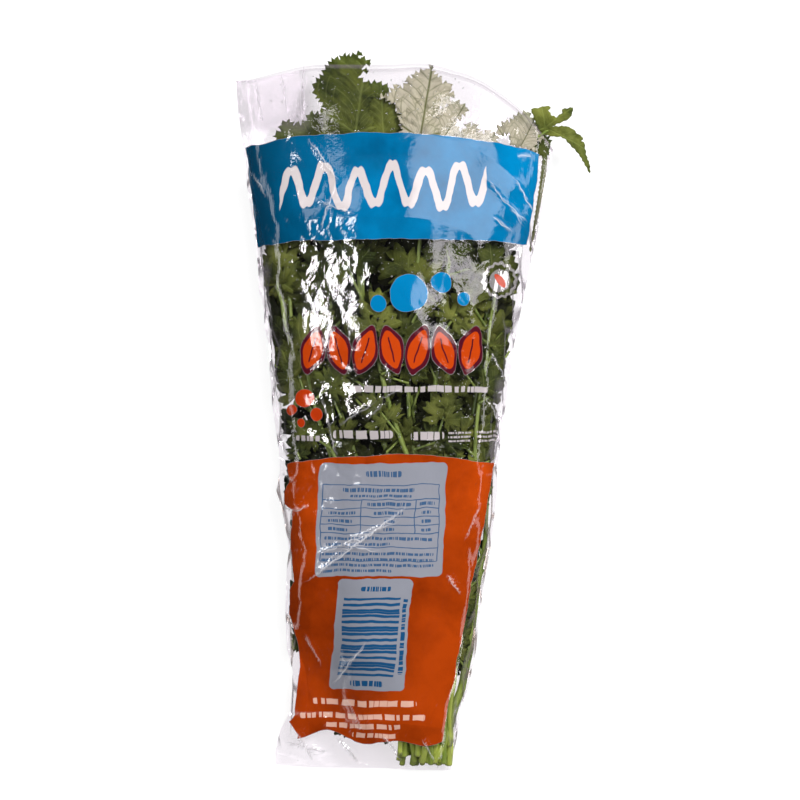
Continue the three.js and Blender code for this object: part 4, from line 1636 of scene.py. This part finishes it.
# %% Ornament of the window
def discs(x, y, places):
    """Distance to a few discs, each given as centre x, centre y and radius."""
    nearest = None
    for cx, cy, radius in places:
        disc = ((x - cx) * (x - cx) + (y - cy) * (y - cy)) ** 0.5 - radius
        nearest = disc if nearest is None else nearest.least(disc)
    return nearest


WINDOW_PRINT = (
    # centre, size, gap and seed of each greeked line below the petals
    ((-22, -9.2), (26, 3.6), 0.5, 1.0), ((6, -9.6), (15, 3.4), 0.7, 4.0), ((-46, -10.8), (11, 2.4), 0.8, 7.0),
    ((20, -8.6), (10, 0.9), 1.5, 0.0), ((32, -8.1), (9, 0.9), 1.5, 1.0),
    ((20, -10.4), (10, 0.9), 1.5, 3.0), ((32, -9.9), (9, 0.9), 1.5, 4.0),
    ((20, -12.2), (10, 0.9), 1.5, 6.0), ((32, -11.7), (9, 0.9), 1.5, 7.0),
)
# Centre x, centre y and radius of each disc.
BLUE_DISCS = ((-2, 52, 8.2), (12.5, 57, 4.6), (-15.5, 47.8, 3.6), (21.5, 49.5, 2.8))
ORANGE_DISCS = ((-47.5, 6.5, 4.2), (-53.2, 1.2, 2.4), (-42.0, -0.5, 2.7), (-48.6, -4.2, 1.7))
SEAL = (37.5, 58.2)


def window_ornament(x, y):
    """Masks of the petals' rims and fills, the blue and orange discs, and the pale print."""
    wx = x + 9.5
    lean = (wx * 0.2755 + 1.571).sin() * 0.3
    rise = y - 27.4
    side = wx.wrap(11.4) + rise * lean
    petal = (((side / 4.2) ** 2.0 + (rise.abs() / 8.0) ** 2.0) ** 0.5 - 1.0) * 4.2
    ends = (wx + rise * lean).abs() - 39.9
    rib = inside((side.abs() - 0.35).most(rise.abs() - 5.2))
    fill = inside(petal.most(ends)) * (1.0 - rib)
    rim = inside((petal - 1.3).most(ends))
    blue = inside(discs(x, y, BLUE_DISCS))
    orange = inside(discs(x, y, ORANGE_DISCS))
    # A scalloped seal with a leaf in it.
    sx, sy = x - SEAL[0], y - SEAL[1]
    sprig = (((sx + sy) / 2.2) ** 2.0 + ((sx - sy) / 5.4) ** 2.0) ** 0.5 - 1.0
    orange = orange.most(inside(sprig * 1.8))
    turn = sx.math("ARCTAN2", sy)
    scallop = discs(x, y, ((*SEAL, 7.2),)) - (turn * 14.0).sin() * 0.35
    pale = inside(scallop.abs() - 0.6) * 0.6
    pale = pale.most(inside(discs(x, y, ((*SEAL, 4.9),))) * 0.5)
    line = greeked(x, y, (1, 10.6), (63, 2.7), 0.62, 2.2)
    return rim, fill, blue, orange, line.most(greeked_lines(x, y, WINDOW_PRINT)).most(pale)


print("discs", len(BLUE_DISCS + ORANGE_DISCS), "greeked lines", len(WINDOW_PRINT) + 1)

# %% Inks
MAROON = linear(76, 16, 30)
PALE = linear(136, 138, 148)
RULE = linear(24, 74, 116)
CHALK = linear(192, 183, 184)
CLEAR = (0.93, 0.9, 0.93)
HAZE = (0.36, 0.3, 0.36)
WARM_HAZE = (0.4, 0.27, 0.21)
FOLD_WHITE = (0.8, 0.78, 0.8)
WANDER = 3.0  # mm over which the print strays from its true place
FOOT_PRINT = (
    # centre, size, gap and seed of each greeked line at the foot of the orange panel
    ((-21.5, -127.0), (46, 2.6), 0.42, 2.0), ((-22.5, -132.8), (55, 2.3), 0.5, 6.0),
    ((-22, -137.2), (35, 2.2), 0.5, 8.0), ((-17, -141.2), (20, 2.0), 0.6, 4.0),
)


def lay_inks(graph, x, y, bare):
    """Lays every ink over the bare film's colour. Also says where ink lies, and how dense it is."""
    masks = print_masks(x, y)
    rim, petals, blue_discs, orange_discs, small = window_ornament(x, y)
    text = greeked_lines(x, y, FOOT_PRINT)
    # Blotches in both inks: partly uneven ink, partly painted shade of the leaves behind it.
    mottle_and_shade = graph.noise(graph.own_place(), 27.0, 5.0, 0.6).ramp(0.32, 0.66)
    blue = graph.colour(mottle_and_shade, linear(0, 80, 122), linear(0, 114, 166))
    # Painted shade: the blue band darkens towards the left, where the film turns away from the light.
    blue = graph.colour((x * -1.0).ramp(18.0, 62.0) * 0.85, blue, linear(0, 62, 92))
    orange = graph.colour(mottle_and_shade, linear(130, 41, 3), linear(184, 67, 9))
    # The orange panel is darker towards the bottom.
    orange = graph.colour((y * -1.0).ramp(32.0, 62.0) * 0.3, orange, linear(104, 30, 2))
    ink = masks["blue"].most(masks["orange"]).most(rim).most(blue_discs).most(orange_discs)
    colour = bare
    for mask, laid in (
        (masks["blue"], blue),
        (masks["wave"], CHALK),
        (masks["orange"], orange),
        (masks["pale"], PALE),
        (panel_lines(masks, y), RULE),
        (text * masks["orange"], linear(212, 166, 148)),
        (rim, MAROON),
        (petals, linear(182, 62, 12)),
        (blue_discs, linear(0, 112, 164)),
        (orange_discs, linear(176, 52, 12)),
        (small * (1.0 - ink), CHALK),
    ):
        colour = graph.colour(mask, colour, laid)
    return colour, ink.most(small * 0.85), mottle_and_shade.ramp(0.0, 1.0, 0.9, 0.96)


print("greeked lines at the foot", len(FOOT_PRINT))

# %% Film material
def film_material(name, printed):
    graph = Graph(name)
    place = graph.own_place()
    milky = graph.noise(place, 24.0, 3.0).ramp(0.4, 0.75, 0.003, 0.013)
    fine = graph.node("ShaderNodeTexVoronoi", {"feature": "F2"}, Vector=place, Scale=430.0)
    bump = graph.bump(fine * 0.7 + graph.noise(place, 900.0, 2.0) * 0.5, 0.11, 0.0005)
    line = graph.attribute("crease_side").abs().ramp(0.1, 0.32, 1.0, 0.0) * graph.attribute("crease_mark")
    fold = (graph.attribute("fold") * 0.55).most(line)
    cloud = graph.attribute("cloud")
    # Gathered film has thin white lines along the weld.
    drawn = graph.node("ShaderNodeMapping", None, Vector=place, Scale=(210.0, 42.0, 60.0))
    lines = graph.cracks(drawn, 1.0).ramp(0.02, 0.09, 1.0, 0.0) * graph.attribute("gathered")
    opacity = milky + cloud + (fold * 0.42).most(lines * 0.34)
    haze = (cloud * 11.0).least(1.0).most(lines * 0.8)
    # Beside the orange panel the welds pick up some of its colour.
    lengthwise = graph.node("ShaderNodeSeparateXYZ", None, place).beside(1)
    beside_panel = lengthwise.ramp(-0.13, -0.11) * lengthwise.ramp(-0.03, -0.015, 1.0, 0.0)
    milk = graph.colour(beside_panel, HAZE, WARM_HAZE)
    colour = graph.colour(haze, CLEAR, milk)
    # Where there is no ink the film only reflects, so it is given a mirror's shader, very thinly.
    metallic = (0.985 - fold * 0.6 - haze * 0.6).most(0.2)
    if printed:
        split = graph.node("ShaderNodeSeparateXYZ", None, graph.node("ShaderNodeUVMap", {"uv_map": "print"}))
        wander = graph.node("ShaderNodeSeparateColor", None, graph.noise(place, 75.0, 2.0).beside(1))
        x = (split - 0.5) * FLAT_WIDTH + (wander - 0.5) * WANDER
        y = (split.beside(1) - 0.5) * FLAT_LENGTH + (wander.beside(1) - 0.5) * WANDER
        colour, inked, density = lay_inks(graph, x, y, colour)
        colour = graph.colour(fold * 0.6, colour, FOLD_WHITE)
        opacity = opacity.most(inked * density)
        metallic = (1.0 - inked) * metallic
    gloss = graph.principled(
        Base_Color=colour,
        Metallic=metallic,
        Roughness=0.07,
        IOR=1.5,
        Specular_IOR_Level=0.38,
        Normal=bump,
    )
    facing = graph.node("ShaderNodeFresnel", None, IOR=1.5, Normal=bump)
    clear = graph.node("ShaderNodeBsdfTransparent", None, Color=(0.99, 0.98, 0.99, 1))
    seen = (opacity + facing.least(0.024)).least(1.0)
    return graph.surface(graph.node("ShaderNodeMixShader", None, seen, clear, gloss))


film_front.data.materials.append(film_material("film_printed", True))
film_back.data.materials.append(film_material("film_clear", False))
print("film nodes", len(bpy.data.materials["film_printed"].node_tree.nodes))

# %% [markdown]
# ## Floor and light
# The bunch lies on a plain white table. A narrow softbox on the left leaves the long bright streak on
# the film, a broad dimmer one on the right veils the other shoulder, and low cards outline its sides. An
# overhead fill and a smaller key light, which the gloss doesn't show, light the leaves without washing
# out the dark gaps between them.

# %% Floor
TABLE = 3  # metres from the middle to each edge

floor_mesh = bpy.data.meshes.new("floor")
corners = [(-TABLE, -TABLE, 0), (TABLE, -TABLE, 0), (TABLE, TABLE, 0), (-TABLE, TABLE, 0)]
floor_mesh.from_pydata(corners, [], [(0, 1, 2, 3)])
floor = add_object("floor", floor_mesh)
white = Graph("table_white")
glow = white.principled(
    Base_Color=(0.3, 0.3, 0.3, 1),
    Roughness=0.9,
    Emission_Color=(1, 1, 1, 1),
    Emission_Strength=0.8,
)
floor_mesh.materials.append(white.surface(glow))
floor.visible_glossy = False  # so the film's steep sides stay clear
floor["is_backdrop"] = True
print("floor", len(floor_mesh.polygons), "face")

# %% Lights
def area_light(name, place, aim, size, power, glossy=True, diffuse=True):
    light = bpy.data.lights.new(name, "AREA")
    light.shape = "RECTANGLE"
    light.size, light.size_y = size
    light.energy = power
    obj = bpy.data.objects.new(name, light)
    bpy.context.collection.objects.link(obj)
    obj.location = place
    obj.rotation_euler = (Vector(aim) - Vector(place)).to_track_quat("-Z", "Y").to_euler()
    obj.visible_glossy = glossy
    obj.visible_diffuse = diffuse
    return obj


def radiance(size, brightness):
    """The power that makes a light of this size look this bright."""
    return brightness * math.pi * size[0] * size[1]


SOFTBOXES = (
    # Name, place, aim, size and brightness. The strips are mirrored on the film's left shoulder, and the
    # broad one on its right. The cards stand low, and only the gloss on the film's sides shows them.
    ("strip_softbox", (-0.5, 0.1, 1.05), (-0.02, 0.03, 0.03), (0.46, 0.1), 32.0),
    ("strip_upper", (-0.5, 0.6, 1.0), (-0.02, 0.08, 0.03), (0.3, 0.2), 5.0),
    ("broad_softbox", (0.58, 0.42, 1.05), (0.02, 0.06, 0.03), (0.85, 0.62), 5.9),
    ("card_left", (-1.3, 0.1, 0.22), (0, 0, 0.05), (2.4, 0.2), 4.6),
    ("card_right", (1.5, -0.2, 0.28), (0, 0, 0.05), (2.4, 0.28), 4.2),
    ("card_foot", (0.0, -1.4, 0.4), (0, 0, 0.1), (2.2, 0.3), 1.0),
)
for name, place, aim, size, brightness in SOFTBOXES:
    area_light(name, place, aim, size, radiance(size, brightness), diffuse="card" not in name)
area_light("fill", (0.1, 0.1, 1.7), (0, 0, 0), (1.3, 1.3), 4.8, glossy=False)
# The smaller key light gives the leaves shade on one side.
area_light("key", (0.75, 0.8, 1.1), (0, 0, 0), (0.22, 0.22), 17.0, glossy=False)
world = bpy.data.worlds.new("studio")
bpy.context.scene.world = world
world.use_nodes = True
world.node_tree.nodes["Background"].inputs[0].default_value = (1, 1, 1, 1)
world.node_tree.nodes["Background"].inputs[1].default_value = 0.02
bpy.context.scene.view_settings.view_transform = "Standard"
bpy.context.scene.cycles.transparent_max_bounces = 24

# %% [markdown]
# ## Joining the frame
# The bunch has no moving parts, so every piece rides on the one body. The pieces stand for the plain
# solids that the frame holds: the film for the sleeve, and the stems and leaves for the leafy stems.

# %% Riding
for obj in (film_front, film_back):
    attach(obj, "root")
    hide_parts("sleeve")
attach(drops, "root")
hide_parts("sleeve")
for obj in (stalks, side_stalks, mouth_stalks, leaves_upper, leaves_lower, stray, *mouth_leaves):
    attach(obj, "root")
    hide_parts(*STEM_NODES)

size = {
    "cad": [list(map(float, corner)) for corner in cad_box],
    "visual": [list(map(float, corner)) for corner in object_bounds()],
}
print(size)
